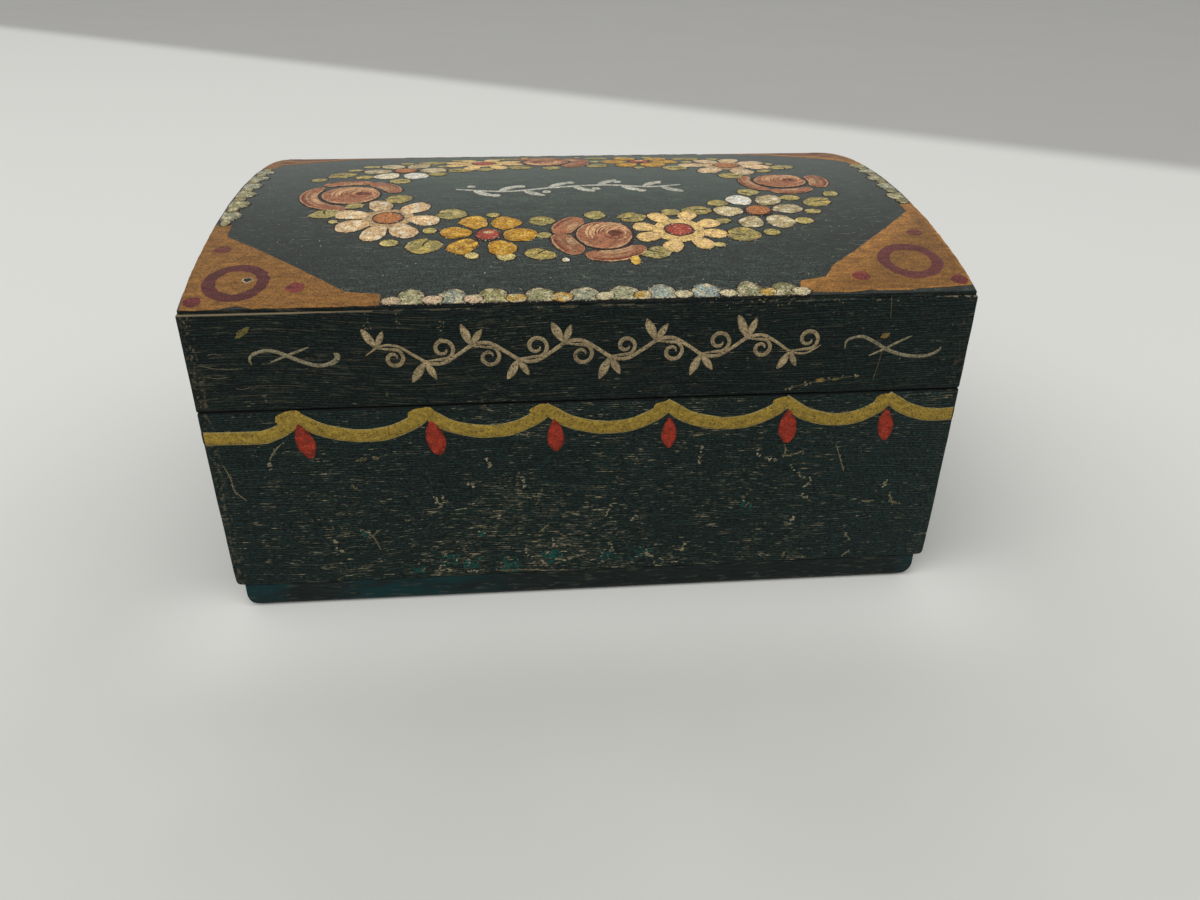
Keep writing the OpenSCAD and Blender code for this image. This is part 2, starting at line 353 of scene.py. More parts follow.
def brush_paint(name, worn, grit_share, speck_share, specular=0.22, mottle_scale=0.8):
    """Thick granular brush paint in the piece's own tint, worn through in small pits."""
    s = Shader(name, Specular_IOR_Level=specular)
    grit = s.noise(3.4, 2.0, 0.7, 3.0)
    mottle = s.noise(mottle_scale, 3.0, 0.6, 8.0)
    pit = s.noise((2.3, 3.0, 3.0), 2.0, 0.6, 15.0)
    speck = s.noise(2.8, 2.0, 0.6, 27.0)
    s.paint = s.tint()
    s.multiply(grit.ramp(0.32, 0.68, 1 - grit_share, 1 + grit_share))
    s.multiply(mottle.ramp(0.3, 0.7, 0.76, 1.22))
    s.lay(speck.ramp(0.59, 0.69, 0.0, speck_share), (232, 222, 196))
    s.lay(pit.ramp(0.58, 0.66, 0.0, worn), (42, 36, 27))
    return s.finish(grit.ramp(0.3, 0.7, 0.62, 0.46), grit - pit.ramp(0.58, 0.68) * 0.6, 0.07)


def base_paint(name):
    """The base board's dark paint, teal at its ends and left of the middle, rubbed at its lower edge."""
    s = Shader(name, Specular_IOR_Level=0.16)
    x, y, z = s.axes()
    cloud = s.noise((0.16, 0.16, 0.4), 3.0, 0.6, 12.0)
    hair = s.noise((0.45, 4.0, 4.0), 2.0, 0.5, 4.0)
    dash = s.noise((0.4, 2.2, 2.2), 2.0, 0.5, 1.0).ramp(0.60, 0.68, 0.0, 0.5)
    uneven = s.noise(0.5, 3.0, 0.6, 2.0).ramp(0.3, 0.7, -0.3, 0.8)
    s.paint = s.mix(hair.ramp(0.4, 0.66), (10, 18, 17), (23, 33, 31))
    slanted = x - z * 0.5
    at_end = s.most(slanted.ramp(-51.5, -54.5), x.ramp(53, 57, 0.0, 0.6))
    off_middle = slanted.ramp(-45.0, -42.0) * x.ramp(-10, -25)
    teal = s.most(at_end, off_middle) * cloud.ramp(0.34, 0.56, 0.15, 0.95)
    s.lay(teal, (2, 42, 44))
    s.lay(dash, (62, 66, 55))
    s.lay((z + uneven).ramp(0.35, 0.05, 0.0, 0.6), (88, 74, 54))
    within = abs(x).ramp(57, 56) * abs(y).ramp(41, 40)
    inner_face = z.ramp(BODY_Z - 0.1, BODY_Z - 0.04) * within
    underside = z.ramp(0.04, 0.01)
    s.lay(s.most(underside, inner_face), bare_wood(s, "x"))
    return s.finish(hair.ramp(0.3, 0.7, 0.42, 0.62), hair, 0.06)


def old_metal(name, bright, dull, dark, rough):
    """Tarnished metal with darker stains and fine scratches."""
    s = Shader(name, Metallic=1.0)
    stain = s.noise(0.5, 4.0, 0.65, 1.0)
    scratch = s.noise((0.5, 9.0, 9.0), 2.0, 0.5, 6.0)
    s.paint = s.mix(stain.ramp(0.35, 0.62), bright, dull)
    s.lay(stain.ramp(0.60, 0.74), dark)
    return s.finish(scratch.ramp(0.3, 0.7, rough - 0.08, rough + 0.14), stain * 0.4 + scratch, 0.02)


# Worn boards built on grids of lines
def lines(low, high, marks=()):
    """Grid lines from low to high, close together near both ends."""
    near = (0.0, 0.12, 0.3, 0.55, 0.9, 1.5)
    count = max(1, round((high - low - 2 * near[-1]) / GRID_STEP))
    inner = np.linspace(low + near[-1], high - near[-1], count + 1)
    ends = [low + d for d in near] + [high - d for d in near]
    return np.unique(np.round(np.concatenate([ends, inner, list(marks)]), 4))


def boundary(filled):
    """Quads round the filled cells of a grid, each as four grid places."""
    padded = np.pad(filled, 1)
    quads = []
    for axis in range(3):
        for side in (0, 1):
            beside = np.roll(padded, -1 if side else 1, axis)[1:-1, 1:-1, 1:-1]
            cells = np.argwhere(filled & ~beside)
            corners = []
            for step_b, step_c in ((0, 0), (1, 0), (1, 1), (0, 1)):
                corner = cells.copy()
                corner[:, axis] += side
                corner[:, (axis + 1) % 3] += step_b
                corner[:, (axis + 2) % 3] += step_c
                corners.append(corner)
            quad = np.stack(corners, 1)
            quads.append(quad if side else quad[:, ::-1])
    return np.concatenate(quads)


def eased(points, low, high, radius):
    """Points of a board drawn in to round the arrises of the box from low to high."""
    r = radius[:, None]
    inner = np.minimum(np.maximum(points, low + r), high - r)
    out = points - inner
    length = np.linalg.norm(out, axis=1)[:, None]
    return inner + out * np.where(length > r, r / np.maximum(length, 1e-9), 1.0)


def worn_radius(points, base, seed):
    """Radius of the arrises at each point: rubbed unevenly, chipped here and there, rounder at the foot."""
    rub_size, rub_share = 5, 0.5
    chip_size, chip_from, chip_depth, chip_seed = 2.3, 0.42, 0.55, seed + 40
    foot_reach, foot_depth = 2.5, 0.5
    radii = []
    for x, y, z in points:
        rub = wobble(x / rub_size, y / rub_size, z / rub_size + seed)
        chipped = wobble(x / chip_size, y / chip_size, z / chip_size + chip_seed)
        from_foot = math.hypot(HALF_W - abs(x), z - BODY_Z)
        foot = foot_depth * max(0.0, 1 - from_foot / foot_reach)
        radii.append(base * (1 + rub_share * rub) + chip_depth * max(0.0, chipped - chip_from) + foot)
    return np.array(radii)


def mesh_object(name, points, faces, body, material, smooth_angle=40):
    """A Blender object from points in millimetres, riding on a body."""
    mesh = bpy.data.meshes.new(name)
    mesh.from_pydata([tuple(p) for p in np.asarray(points) * MM], [], [tuple(f) for f in faces])
    mesh.validate()
    mesh.polygons.foreach_set("use_smooth", [True] * len(mesh.polygons))
    mesh.set_sharp_from_angle(angle=math.radians(smooth_angle))
    mesh.materials.append(material)
    piece = bpy.data.objects.new(name, mesh)
    bpy.context.scene.collection.objects.link(piece)
    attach(piece, body)
    return piece


def board(node, grid, shape, body, material, filled=None):
    """A worn board that stands for a CAD node; filled marks the wood where it is not the whole grid."""
    quads = boundary(np.ones([len(axis) - 1 for axis in grid], bool) if filled is None else filled)
    places, index = np.unique(quads.reshape(-1, 3), axis=0, return_inverse=True)
    points = np.stack([grid[a][places[:, a]] for a in range(3)], 1)
    faces = index.reshape(-1, 4).tolist()
    piece = mesh_object("worn_" + node, shape(points), faces, body, material)
    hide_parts(node)
    return piece


def share_near(value, limit, reach=2.0):
    """1 at the outer plane, falling to 0 a little way inside it."""
    return np.clip((np.abs(value) - (limit - reach)) / reach, 0, 1)


def lean(z):
    """How far the body's ends lean in at a height, in millimetres."""
    return LEAN * np.clip((SEAM_Z - z) / (SEAM_Z - BODY_Z), 0, 1)


def inset_walls(points):
    """Points of a wall moved in from the outer planes by the skin, the dents and the lean of the ends."""
    moved = points.copy()
    for axis, limit, across in ((0, HALF_W, 1), (1, BACK_Y, 0)):
        depth = np.array([SKIN + dent(p[across], p[2]) for p in points])
        if axis == 0:
            depth = depth + lean(points[:, 2])
        moved[:, axis] -= np.sign(points[:, axis]) * depth * share_near(points[:, axis], limit)
    return moved


def wall_shape(low, high, base, seed):
    """The easing and dents of one wall whose rounded box runs from low to high."""
    def shape(points):
        rounded = eased(points, np.array(low), np.array(high), worn_radius(points, base, seed))
        return inset_walls(rounded)
    return shape


def long_wall(node, z_low, z_high, body, material, seed):
    """The front wall of the body or the lid, with the rabbets that take the end walls."""
    inner = HALF_W - WALL
    grid = (lines(-HALF_W, HALF_W, (-inner, inner)), lines(FRONT_Y, FRONT_Y + WALL, (FRONT_Y + LIP,)),
            lines(z_low, z_high))
    mx, my, _ = np.meshgrid(*[(a[:-1] + a[1:]) / 2 for a in grid], indexing="ij")
    filled = (np.abs(mx) < inner) | (my < FRONT_Y + LIP)
    shape = wall_shape((-HALF_W, FRONT_Y, z_low), (HALF_W, FRONT_Y + PAST_WALL, z_high), FRONT_ARRIS, seed)
    board(node, grid, shape, body, material, filled)


def end_wall(node, side, z_low, z_high, body, material, seed):
    """An end wall, eased along its upper and lower outer arris."""
    outer, inner = side * HALF_W, side * (HALF_W - WALL)
    grid = (lines(min(outer, inner), max(outer, inner)), lines(-END_HALF, END_HALF), lines(z_low, z_high))
    low = (-HALF_W if side < 0 else -PAST_WALL, -END_HALF - PAST_END, z_low)
    high = (HALF_W if side > 0 else PAST_WALL, END_HALF + PAST_END, z_high)
    joint_depth, joint_reach = 0.16, 0.3

    def shape(points):
        moved = wall_shape(low, high, ARRIS, seed)(points)
        joint = np.clip((np.abs(points[:, 1]) - END_HALF + joint_reach) / joint_reach, 0, 1)
        moved[:, 0] -= side * joint_depth * joint * share_near(points[:, 0] * side, HALF_W, 1.0)
        return moved

    board(node, grid, shape, body, material)


def front_sag(y):
    """How far the lid's front edge sits below the true arch, in millimetres."""
    return FRONT_SAG * np.clip(1 - (np.asarray(y) - FRONT_Y) / SAG_REACH, 0, 1) ** 2


def arch(y):
    """Height of the lid top's arched face at a depth."""
    return TOP_Z - TOP_RADIUS + np.sqrt(TOP_RADIUS ** 2 - np.square(y)) - front_sag(y)


def arched_top(material, edge_material):
    """The arched lid top: a grid in width, depth and depth below the arch."""
    below = np.array([-1.0, -0.42, -0.26, -0.12, 0.0])
    grid = (lines(-TOP_HALF_W, TOP_HALF_W), lines(-TOP_HALF_D, TOP_HALF_D), below)
    low = np.array((-TOP_HALF_W, -TOP_HALF_D, -9.0))
    high = np.array((TOP_HALF_W, TOP_HALF_D, 0.0))
    notch_back, notch_size, notch_depth = 6.5, 1.6, 0.7
    steep = 0.75

    def shape(points):
        bottom = points[:, 2] < below[1]
        radius = worn_radius(points, ARRIS, 60)
        from_notch = np.hypot(points[:, 0] + TOP_HALF_W, points[:, 1] - FRONT_Y - notch_back)
        radius += notch_depth * np.clip(1 - from_notch / notch_size, 0, 1)
        moved = eased(points, low, high, radius)
        for axis, limit in ((0, TOP_HALF_W), (1, TOP_HALF_D)):
            moved[:, axis] -= np.sign(points[:, axis]) * SKIN * share_near(points[:, axis], limit)
        dips = np.array([SKIN + dent(p[0], p[1] - FRONT_Y) for p in moved])
        moved[:, 2] += arch(moved[:, 1]) - dips
        over_front = points[bottom, 1] < FRONT_Y + LIP
        moved[bottom, 2] = LID_Z - np.where(over_front, FRONT_SAG + JOINT_DROP, 0)
        return moved

    piece = board("lid_top", grid, shape, "lid", material)
    piece.data.materials.append(edge_material)
    for face in piece.data.polygons:
        if max(abs(face.normal.x), abs(face.normal.y)) > steep:
            face.material_index = 1


# Faces that carry paint: each takes a place on the face and a height above it
def on_front(u, v, h):
    """u to the right and v up from the body's lower edge, on the front."""
    return u, FRONT_Y + SKIN + dent(u, BODY_Z + v) - h, BODY_Z + v


def on_back(u, v, h):
    """u to the right of someone behind the box, and v up, on the back boards, which stay as in the CAD."""
    return -u, BACK_Y + h, BODY_Z + v


def on_right(u, v, h):
    """u to the right of someone facing the right end, and v up."""
    return HALF_W - SKIN - float(lean(BODY_Z + v)) - dent(u, BODY_Z + v) + h, u, BODY_Z + v


def on_left(u, v, h):
    """u to the right of someone facing the left end, and v up."""
    x, y, z = on_right(-u, v, h)
    return -x, y, z


def on_top(u, v, h):
    """u to the right and v back from the front edge, on the arched top."""
    y = FRONT_Y + v
    slope = y / TOP_RADIUS
    up = math.sqrt(1 - slope * slope)
    return u, y + slope * h, float(arch(y)) - SKIN - dent(u, v) + up * h


# Brushwork: profiles give shares of the outline or half width and of the height, None for under the face
PROFILE = ((1.0, None), (1.0, 0.25), (0.95, 0.80), (0.84, 1.0), (0.66, 0.92), (0.42, 0.86), (0.2, 0.88))
PATCH_PROFILE = ((1.0, None), (1.0, 0.4), (0.985, 0.9)) + tuple((s, 1.0) for s in np.linspace(0.95, 0.06, 15))
CHIP_PROFILE = ((1.0, None), (1.0, 0.5), (0.6, 1.0))
ACROSS = ((-1, None), (-0.92, 0.45), (-0.55, 0.95), (0, 1.0), (0.55, 0.95), (0.92, 0.45), (1, None))
# Unevenness of a dab's and a stroke's height and its seed; where a dab's rim begins and how wide it is
DAB_GRAIN, STROKE_GRAIN = (0.30, 5.0), (0.25, 9.0)
RIM_FROM, RIM_OVER = 0.70, 0.22
reliefs = []


def streaked(tint, streak, u, v):
    """A tint streaked with another one, as paint that was not mixed through."""
    if streak is None:
        return tint
    plain, strength, most, layer = 0.12, 2.2, 0.9, 33.0
    share = min(most, max(0.0, plain + strength * wobble(u * 0.75, v * 1.05, layer)))
    return tint + (streak - tint) * share


def paint_height(u, v, height, level, rough, seed):
    """Height of uneven paint at a place; without a level it lies just under the face."""
    if level is None:
        return -EMBED
    return height * level * (1 + rough * wobble(u * 1.3, v * 1.3, seed))


def with_next(count):
    """Each place of a ring and the one after it."""
    return [(i, (i + 1) % count) for i in range(count)]


class Relief:
    """Raised brushwork of one kind, gathered into one piece."""

    def __init__(self, name, body, slot_name, material, place):
        self.name, self.body, self.slot_name, self.material = name, body, slot_name, material
        self.place = place
        self.points, self.faces, self.tints = [], [], []
        reliefs.append(self)

    def add(self, u, v, h, tint):
        self.points.append(self.place(u, v, h))
        self.tints.append(tint)
        return len(self.points) - 1

    def dab(self, centre, outline, height, rim, middle=None, profile=PROFILE, streak=None):
        """A closed dab of paint inside an outline that is star-shaped about its centre."""
        middle = rim if middle is None else middle
        cu, cv = centre
        rings = []
        for share, level in profile:
            near_rim = min(1.0, max(0.0, (share - RIM_FROM) / RIM_OVER))
            tint = middle + (rim - middle) * near_rim
            ring = []
            for du, dv in outline:
                u, v = cu + du * share, cv + dv * share
                h = paint_height(u, v, height, level, *DAB_GRAIN)
                ring.append(self.add(u, v, h, streaked(tint, streak, u, v)))
            rings.append(ring)
        crown = self.add(cu, cv, height * profile[-1][1], middle)
        under = self.add(cu, cv, -EMBED, rim)
        pairs = with_next(len(outline))
        for outer, inner in zip(rings, rings[1:]):
            self.faces += [(outer[i], outer[j], inner[j], inner[i]) for i, j in pairs]
        for i, j in pairs:
            self.faces += [(rings[-1][i], rings[-1][j], crown), (rings[0][j], rings[0][i], under)]

    def stroke(self, line, widths, height, tint, closed=False, upright=0.0):
        """A closed ribbon of paint along a line; its cuts turn upright within that distance of its ends."""
        line = np.asarray(line, float)
        if closed:
            ahead, behind = np.roll(line, -1, 0), np.roll(line, 1, 0)
        else:
            ahead, behind = np.vstack([line[1:], line[-1:]]), np.vstack([line[:1], line[:-1]])
        run = ahead - behind
        run /= np.maximum(np.linalg.norm(run, axis=1), 1e-9)[:, None]
        if upright:
            steps = np.linalg.norm(np.diff(line, axis=0), axis=1)
            gone = np.concatenate([[0.0], np.cumsum(steps)])
            share = np.clip(1 - np.minimum(gone, gone[-1] - gone) / upright, 0, 1)[:, None]
            run = run * (1 - share) + np.array((1.0, 0.0)) * share
            run /= np.linalg.norm(run, axis=1)[:, None]
        loops = []
        for (u, v), (du, dv), width in zip(line, run, widths):
            loop = []
            for side, level in ACROSS:
                pu, pv = u - dv * side * width / 2, v + du * side * width / 2
                loop.append(self.add(pu, pv, paint_height(pu, pv, height, level, *STROKE_GRAIN), tint))
            loops.append(loop)
        if closed:
            loops.append(loops[0])
        for a, b in zip(loops, loops[1:]):
            self.faces += [(a[i], b[i], b[j], a[j]) for i, j in with_next(len(ACROSS))]
        if not closed:
            self.faces += [tuple(loops[0]), tuple(reversed(loops[-1]))]

    def brush(self, line, width, tip, swell, height, tint, vary=0.12, rough=0.1):
        """A stroke that is drawn out at both ends, in a tint that varies by a share if one is given."""
        widths = brush_widths(line, width, tip, swell, rough)
        self.stroke(line, widths, height, varied(tint, vary) if vary else tint)

    def build(self):
        piece = mesh_object(self.name, self.points, self.faces, self.body, self.material, 60)
        make_outward(piece.data)
        layer = piece.data.color_attributes.new("tint", "FLOAT_COLOR", "POINT")
        flat = np.ones((len(self.tints), 4), np.float32)
        flat[:, :3] = np.array(self.tints)
        layer.data.foreach_set("color", flat.ravel())


def make_outward(mesh):
    """Turns every face of a closed mesh outwards."""
    work = bmesh.new()
    work.from_mesh(mesh)
    bmesh.ops.recalc_face_normals(work, faces=work.faces)
    work.to_mesh(mesh)
    work.free()


def turned_by(a, b, angle):
    """An offset turned by an angle in degrees."""
    turn = math.radians(angle)
    return a * math.cos(turn) - b * math.sin(turn), a * math.sin(turn) + b * math.cos(turn)


def oval(long, short, angle=0.0, rough=0.06, taper=0.0, notch=None, count=22, point=0.0):
    """An uneven oval outline; taper narrows its start, point sharpens its ends, notch cuts a V."""
    seed = rng.uniform(0, 90)
    notch_depth, notch_half = 0.28, 20
    outline = []
    for i in range(count):
        t = 2 * math.pi * i / count
        reach = 1 + rough * wobble(1.6 * math.cos(t), 1.6 * math.sin(t), seed) * 2
        if notch is not None:
            off = abs((math.degrees(t) + angle - notch + 180) % 360 - 180)
            reach *= 1 - notch_depth * max(0.0, 1 - off / notch_half)
        a = long * math.cos(t) * reach
        b = short * math.sin(t) * reach * (1 + taper * math.cos(t)) * (1 - point * math.cos(t) ** 2)
        outline.append(turned_by(a, b, angle))
    return outline


def curve(points, per_span=8):
    """A smooth line through points."""
    p = np.asarray(points, float)
    p = np.vstack([2 * p[0] - p[1], p, 2 * p[-1] - p[-2]])
    line = []
    for a, b, c, d in zip(p, p[1:], p[2:], p[3:]):
        for t in np.arange(per_span) / per_span:
            line.append(0.5 * (2 * b + (c - a) * t + (2 * a - 5 * b + 4 * c - d) * t ** 2
                               + (3 * b - a - 3 * c + d) * t ** 3))
    line.append(p[-2])
    return np.array(line)


def brush_widths(line, width, tip, swell, rough):
    """Widths along a stroke: drawn out at both ends, with a swell in the middle."""
    count = len(line)
    seed = rng.uniform(0, 90)
    drawn_out = 0.12
    widths = []
    for i in range(count):
        t = i / (count - 1)
        end = min(1.0, min(t, 1 - t) / drawn_out)
        full = width * (1 + swell * math.sin(math.pi * t)) * (1 + rough * wobble(t * 9, seed))
        widths.append(full * (tip + (1 - tip) * math.sqrt(end)))
    return widths


def polar(centre, radius, angle):
    """The place at a distance and angle from a centre."""
    du, dv = turned_by(radius, 0.0, angle)
    return centre[0] + du, centre[1] + dv


def arc(centre, radius, start, end, count=26, squash=1.0):
    """Points along an arc, flattened across when squash is under 1."""
    line = [polar(centre, radius, angle) for angle in np.linspace(start, end, count)]
    return [(u, centre[1] + (v - centre[1]) * squash) for u, v in line]


# Light and sheen on each side, used to write paint colours so that they look as on the real box
TOP_LIGHT, TOP_SHEEN = 0.95, 0.025
FRONT_LIGHT, FRONT_SHEEN = 0.62, 0.008


def top_tint(*rgb):
    """Tint that shows as an sRGB colour on the lid top."""
    return np.clip((linear(rgb) - TOP_SHEEN) / TOP_LIGHT, 0.004, 0.9)


def wall_tint(*rgb):
    """Tint that shows as an sRGB colour on the front."""
    return np.clip((linear(rgb) - FRONT_SHEEN) / FRONT_LIGHT, 0.002, 0.9)


def varied(tint, amount=0.12):
    """A tint a little lighter or darker than the one mixed."""
    return tint * rng.uniform(1 - amount, 1 + amount)


CREAM = top_tint(205, 170, 124)
WHITE = top_tint(212, 211, 200)
YELLOW = top_tint(170, 124, 46)
GOLD = top_tint(208, 168, 76)
BUTTER = top_tint(222, 187, 121)
BONE = top_tint(163, 146, 106)
PALE = top_tint(222, 208, 178)
SALMON = top_tint(152, 102, 76)
BLUSH = top_tint(198, 156, 116)
MAROON = top_tint(126, 72, 56)
CRIMSON = top_tint(160, 76, 62)
ORANGE = top_tint(166, 108, 66)
LEAF = top_tint(146, 134, 84)
LIME = top_tint(186, 168, 108)
OLIVE = top_tint(160, 147, 86)
MOSS = top_tint(184, 160, 88)
VEIN = top_tint(62, 66, 48)
# Dark outline under raised dabs: partly the painter's outline, partly painted shade at a dab's edge and in
# the gaps between dabs
OUTLINE_AND_EDGE_SHADE = top_tint(62, 50, 42)
CORNER = top_tint(136, 99, 61)
RING = top_tint(95, 62, 60)
DOT = top_tint(125, 69, 65)
DOT_FADED = top_tint(109, 70, 62)
DOT_DARK = top_tint(101, 60, 59)
BEAD_OLIVE = top_tint(133, 128, 84)
BEAD_PALE = top_tint(138, 150, 144)
BEAD_CREAM = top_tint(184, 172, 138)
BEAD_PINK = top_tint(182, 158, 130)
BEAD_OCHRE = top_tint(168, 136, 70)
SPRIG = top_tint(180, 178, 164)
SWAG = wall_tint(114, 95, 43)
SWAG_RIM = wall_tint(112, 102, 66)
DROP = wall_tint(110, 41, 31)
STROKE = wall_tint(116, 103, 79)
FINE_STROKE = wall_tint(98, 92, 74)
OCHRE = wall_tint(78, 72, 40)
AMBER = wall_tint(90, 75, 44)
SCRATCH = wall_tint(86, 80, 62)
TEAL = wall_tint(13, 50, 46)
RUST = wall_tint(76, 68, 50)
CHALK = wall_tint(102, 96, 78)

# Grain axis, lowest and highest edge, crowding of the grain lines, shade, wear
body_paint = board_paint("body_paint", "x", BODY_Z, SEAM_Z, 1.0, 1.0, (0.0, 0.4, 0.36))
lid_paint = board_paint("lid_paint", "x", SEAM_Z, LID_FRONT_Z, 0.8, 0.62, (0.9, 0.0, 0.5))
body_end_paint = board_paint("body_end_paint", "y", BODY_Z, SEAM_Z, 1.5, 1.0, (0.1, 0.45, 0.6))
lid_end_paint = board_paint("lid_end_paint", "y", SEAM_Z, LID_Z, 1.0, 0.8, (0.8, 0.1, 0.6))
edge_paint = board_paint("edge_paint", "x", SEAM_Z, LID_Z + 9, 0.4, 0.5, (0.0, 0.0, 0.0))
crown_paint = top_paint("crown_paint")
# Wear in pits, grit, pale specks, gloss, and bumps of the mottle per millimetre
thick_paint = brush_paint("thick_paint", 0.70, 0.42, 0.55)
bead_paint = brush_paint("bead_paint", 0.75, 0.5, 0.6)
rose_paint = brush_paint("rose_paint", 0.50, 0.36, 0.20)
corner_paint = brush_paint("corner_paint", 0.45, 0.28, 0.0, 0.22, (0.3, 1.3, 1.3))
thin_paint = brush_paint("thin_paint", 0.75, 0.38, 0.12, 0.15)
wall_oil_paint = brush_paint("wall_oil_paint", 0.55, 0.26, 0.08, 0.15, (0.7, 1.1, 1.1))

long_wall("body_front", BODY_Z, SEAM_Z, "box", body_paint, 1)
long_wall("lid_front", SEAM_Z, LID_FRONT_Z, "lid", lid_paint, 2)
end_wall("body_left_end", -1, BODY_Z, SEAM_Z, "box", body_end_paint, 3)
end_wall("body_right_end", 1, BODY_Z, SEAM_Z, "box", body_end_paint, 4)
end_wall("lid_left_end", -1, SEAM_Z, LID_Z, "lid", lid_end_paint, 5)
end_wall("lid_right_end", 1, SEAM_Z, LID_Z, "lid", lid_end_paint, 6)
arched_top(crown_paint, edge_paint)


def worn_base(material):
    """The base board with its ends set back and rubbed round: the CAD board with its points drawn in."""
    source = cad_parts["base_board"]
    points = np.array([source.matrix_world @ v.co for v in source.data.vertices]) / MM
    faces = [tuple(face.vertices) for face in source.data.polygons]
    x, z = points[:, 0].copy(), points[:, 2]
    low = np.clip(1 - z / 3.0, 0, 1) ** 2
    worn_from, worn_over = 50, 8.5
    for side, set_back, rubbed in ((1, 0.6, 0.9), (-1, 0.35, 0.1)):
        share = np.clip((side * x - worn_from) / worn_over, 0, 1)
        points[:, 0] -= side * share * (set_back + rubbed * low)
    piece = mesh_object("worn_base_board", points, faces, "box", material, 30)
    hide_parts("base_board")


def ease_arrises(node):
    """Breaks the sharp arrises of a CAD board with a small bevel."""
    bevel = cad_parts[node].modifiers.new("broken_arris", "BEVEL")
    bevel.width = 0.3 * MM
    bevel.segments = 2
    bevel.limit_method = "ANGLE"
    bevel.angle_limit = math.radians(60)


worn_base(base_paint("base_board_paint"))
ease_arrises("body_back")
ease_arrises("lid_back")

brass = old_metal("old_brass", (186, 148, 84), (140, 106, 56), (74, 58, 38), 0.36)
iron = old_metal("dull_iron", (112, 106, 100), (84, 76, 70), (58, 44, 36), 0.5)
carried = {"body_back": body_paint, "lid_back": lid_paint, "base_brads": iron}
for side_name in ("left", "right"):
    for piece_name in ("body_leaf", "lid_leaf", "body_brads", "lid_brads"):
        carried[f"{side_name}_hinge_{piece_name}"] = brass
    carried[f"{side_name}_hinge_pin"] = iron
for node_name, node_material in carried.items():
    node_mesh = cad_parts[node_name].data
    node_mesh.materials.clear()
    node_mesh.materials.append(node_material)


def lid_relief(name, material=thick_paint):
    return Relief(name, "lid", "top_paint", material, on_top)


def wall_relief(name, body, material=thin_paint):
    return Relief(name, body, "green_paint", material, on_front)


# Wreath on the lid top; the rear half is the front half turned about the middle
WREATH_V = 43.0
# Width and height of the dark border of a dab, partly painted shade at its edge, and heights of the wreath's
# paint over the face
BORDER, BORDER_HIGH = 0.24, 0.035
LEAF_HIGH, VEIN_HIGH, BUD_HIGH = 0.075, 0.1, 0.09
PETAL_HIGH, HALO_HIGH, DISC_HIGH, GLINT_HIGH = 0.105, 0.09, 0.13, 0.14


def both_halves(u, v, angle=0.0):
    """A place and direction in the front half and its turned copy in the rear half."""
    yield u, v, angle
    yield -u, 2 * WREATH_V - v, angle + 180


# Place, half length, half width, and for leaves the angle and that of the notch, for buds the tint
LEAVES = (
    (-42.3, 30.1, 2.7, 2.0, 20, 95), (-30.7, 37.0, 2.6, 2.2, 0, 165), (-37.9, 33.5, 1.7, 1.3, 30, None),
    (-25.1, 16.8, 3.0, 2.6, 0, 70), (-21.3, 29.0, 2.7, 2.3, 0, 165), (-6.2, 25.4, 2.3, 2.0, 0, 175),
    (-6.0, 19.7, 1.3, 1.2, 0, None), (-6.9, 13.4, 2.7, 1.9, -20, 40), (3.0, 27.4, 1.9, 1.8, 0, None),
    (9.1, 26.1, 2.5, 2.0, 0, 200), (16.0, 28.1, 1.7, 1.5, 0, None), (20.7, 28.7, 2.7, 1.9, 0, 0),
    (11.9, 13.2, 2.6, 1.9, 20, 150), (24.9, 32.0, 1.9, 1.6, 0, None), (24.3, 24.0, 1.4, 1.1, 0, None),
    (26.7, 18.7, 3.1, 2.4, 0, 170), (40.8, 27.4, 1.5, 1.2, 0, None), (42.7, 31.9, 2.8, 2.2, 25, 10),
    (46.3, 36.0, 1.6, 1.3, 40, None), (38.3, 34.1, 1.9, 1.5, 0, None), (31.4, 37.6, 2.1, 1.8, 0, 190),
)
BUDS = (
    (-30.7, 18.0, 1.5, 1.2, OLIVE), (31.7, 19.3, 1.4, 1.1, OLIVE), (38.2, 23.5, 1.6, 1.3, OLIVE),
    (-24.5, 22.2, 1.2, 1.1, OLIVE), (-40.6, 26.5, 0.8, 0.7, LIME), (-14.2, 28.2, 1.1, 0.9, OLIVE),
    (-17.5, 13.2, 1.1, 1.0, LIME), (-12.2, 12.7, 1.5, 1.2, LIME), (-2.9, 11.3, 0.6, 0.6, WHITE),
    (8.05, 10.8, 0.8, 1.4, GOLD), (22.2, 15.2, 1.0, 0.8, LIME),
)


def widened(shape, by):
    """An outline moved outwards by a distance."""
    return [(a * (1 + by / math.hypot(a, b)), b * (1 + by / math.hypot(a, b))) for a, b in shape]


def bordered(relief, place, shape, height, tint, light):
    """A dab over a slightly larger dark one, which shows as its outline and as painted shade at its edge."""
    relief.dab(place, widened(shape, BORDER), BORDER_HIGH, OUTLINE_AND_EDGE_SHADE * 0.4)
    relief.dab(place, shape, height, varied(tint * 0.8), varied(tint), streak=light)


leaves = lid_relief("wreath_leaves")
veins = lid_relief("wreath_veins")
for i, (u, v, long, short, angle, notch) in enumerate(LEAVES):
    for cu, cv, turned in both_halves(u, v, angle):
        heart = None if notch is None else notch + turned - angle
        shape = oval(long, short, turned, 0.08, 0.0, heart, 32, 0.2)
        bordered(leaves, (cu, cv), shape, LEAF_HIGH, LEAF, (LIME, MOSS)[i % 2])
        if heart is not None:
            bends = ((0.66, 0), (0.3, 20), (0.15, 165))
            slit = curve([polar((cu, cv), share * long, heart + turn) for share, turn in bends], 5)
            veins.brush(slit, 0.40, 0.2, 0.0, VEIN_HIGH, VEIN * 0.7)

buds = lid_relief("wreath_buds")
for u, v, long, short, tint in BUDS:
    for cu, cv, turned in both_halves(u, v):
        bordered(buds, (cu, cv), oval(long, short, turned), BUD_HIGH, tint, LIME * 1.15)


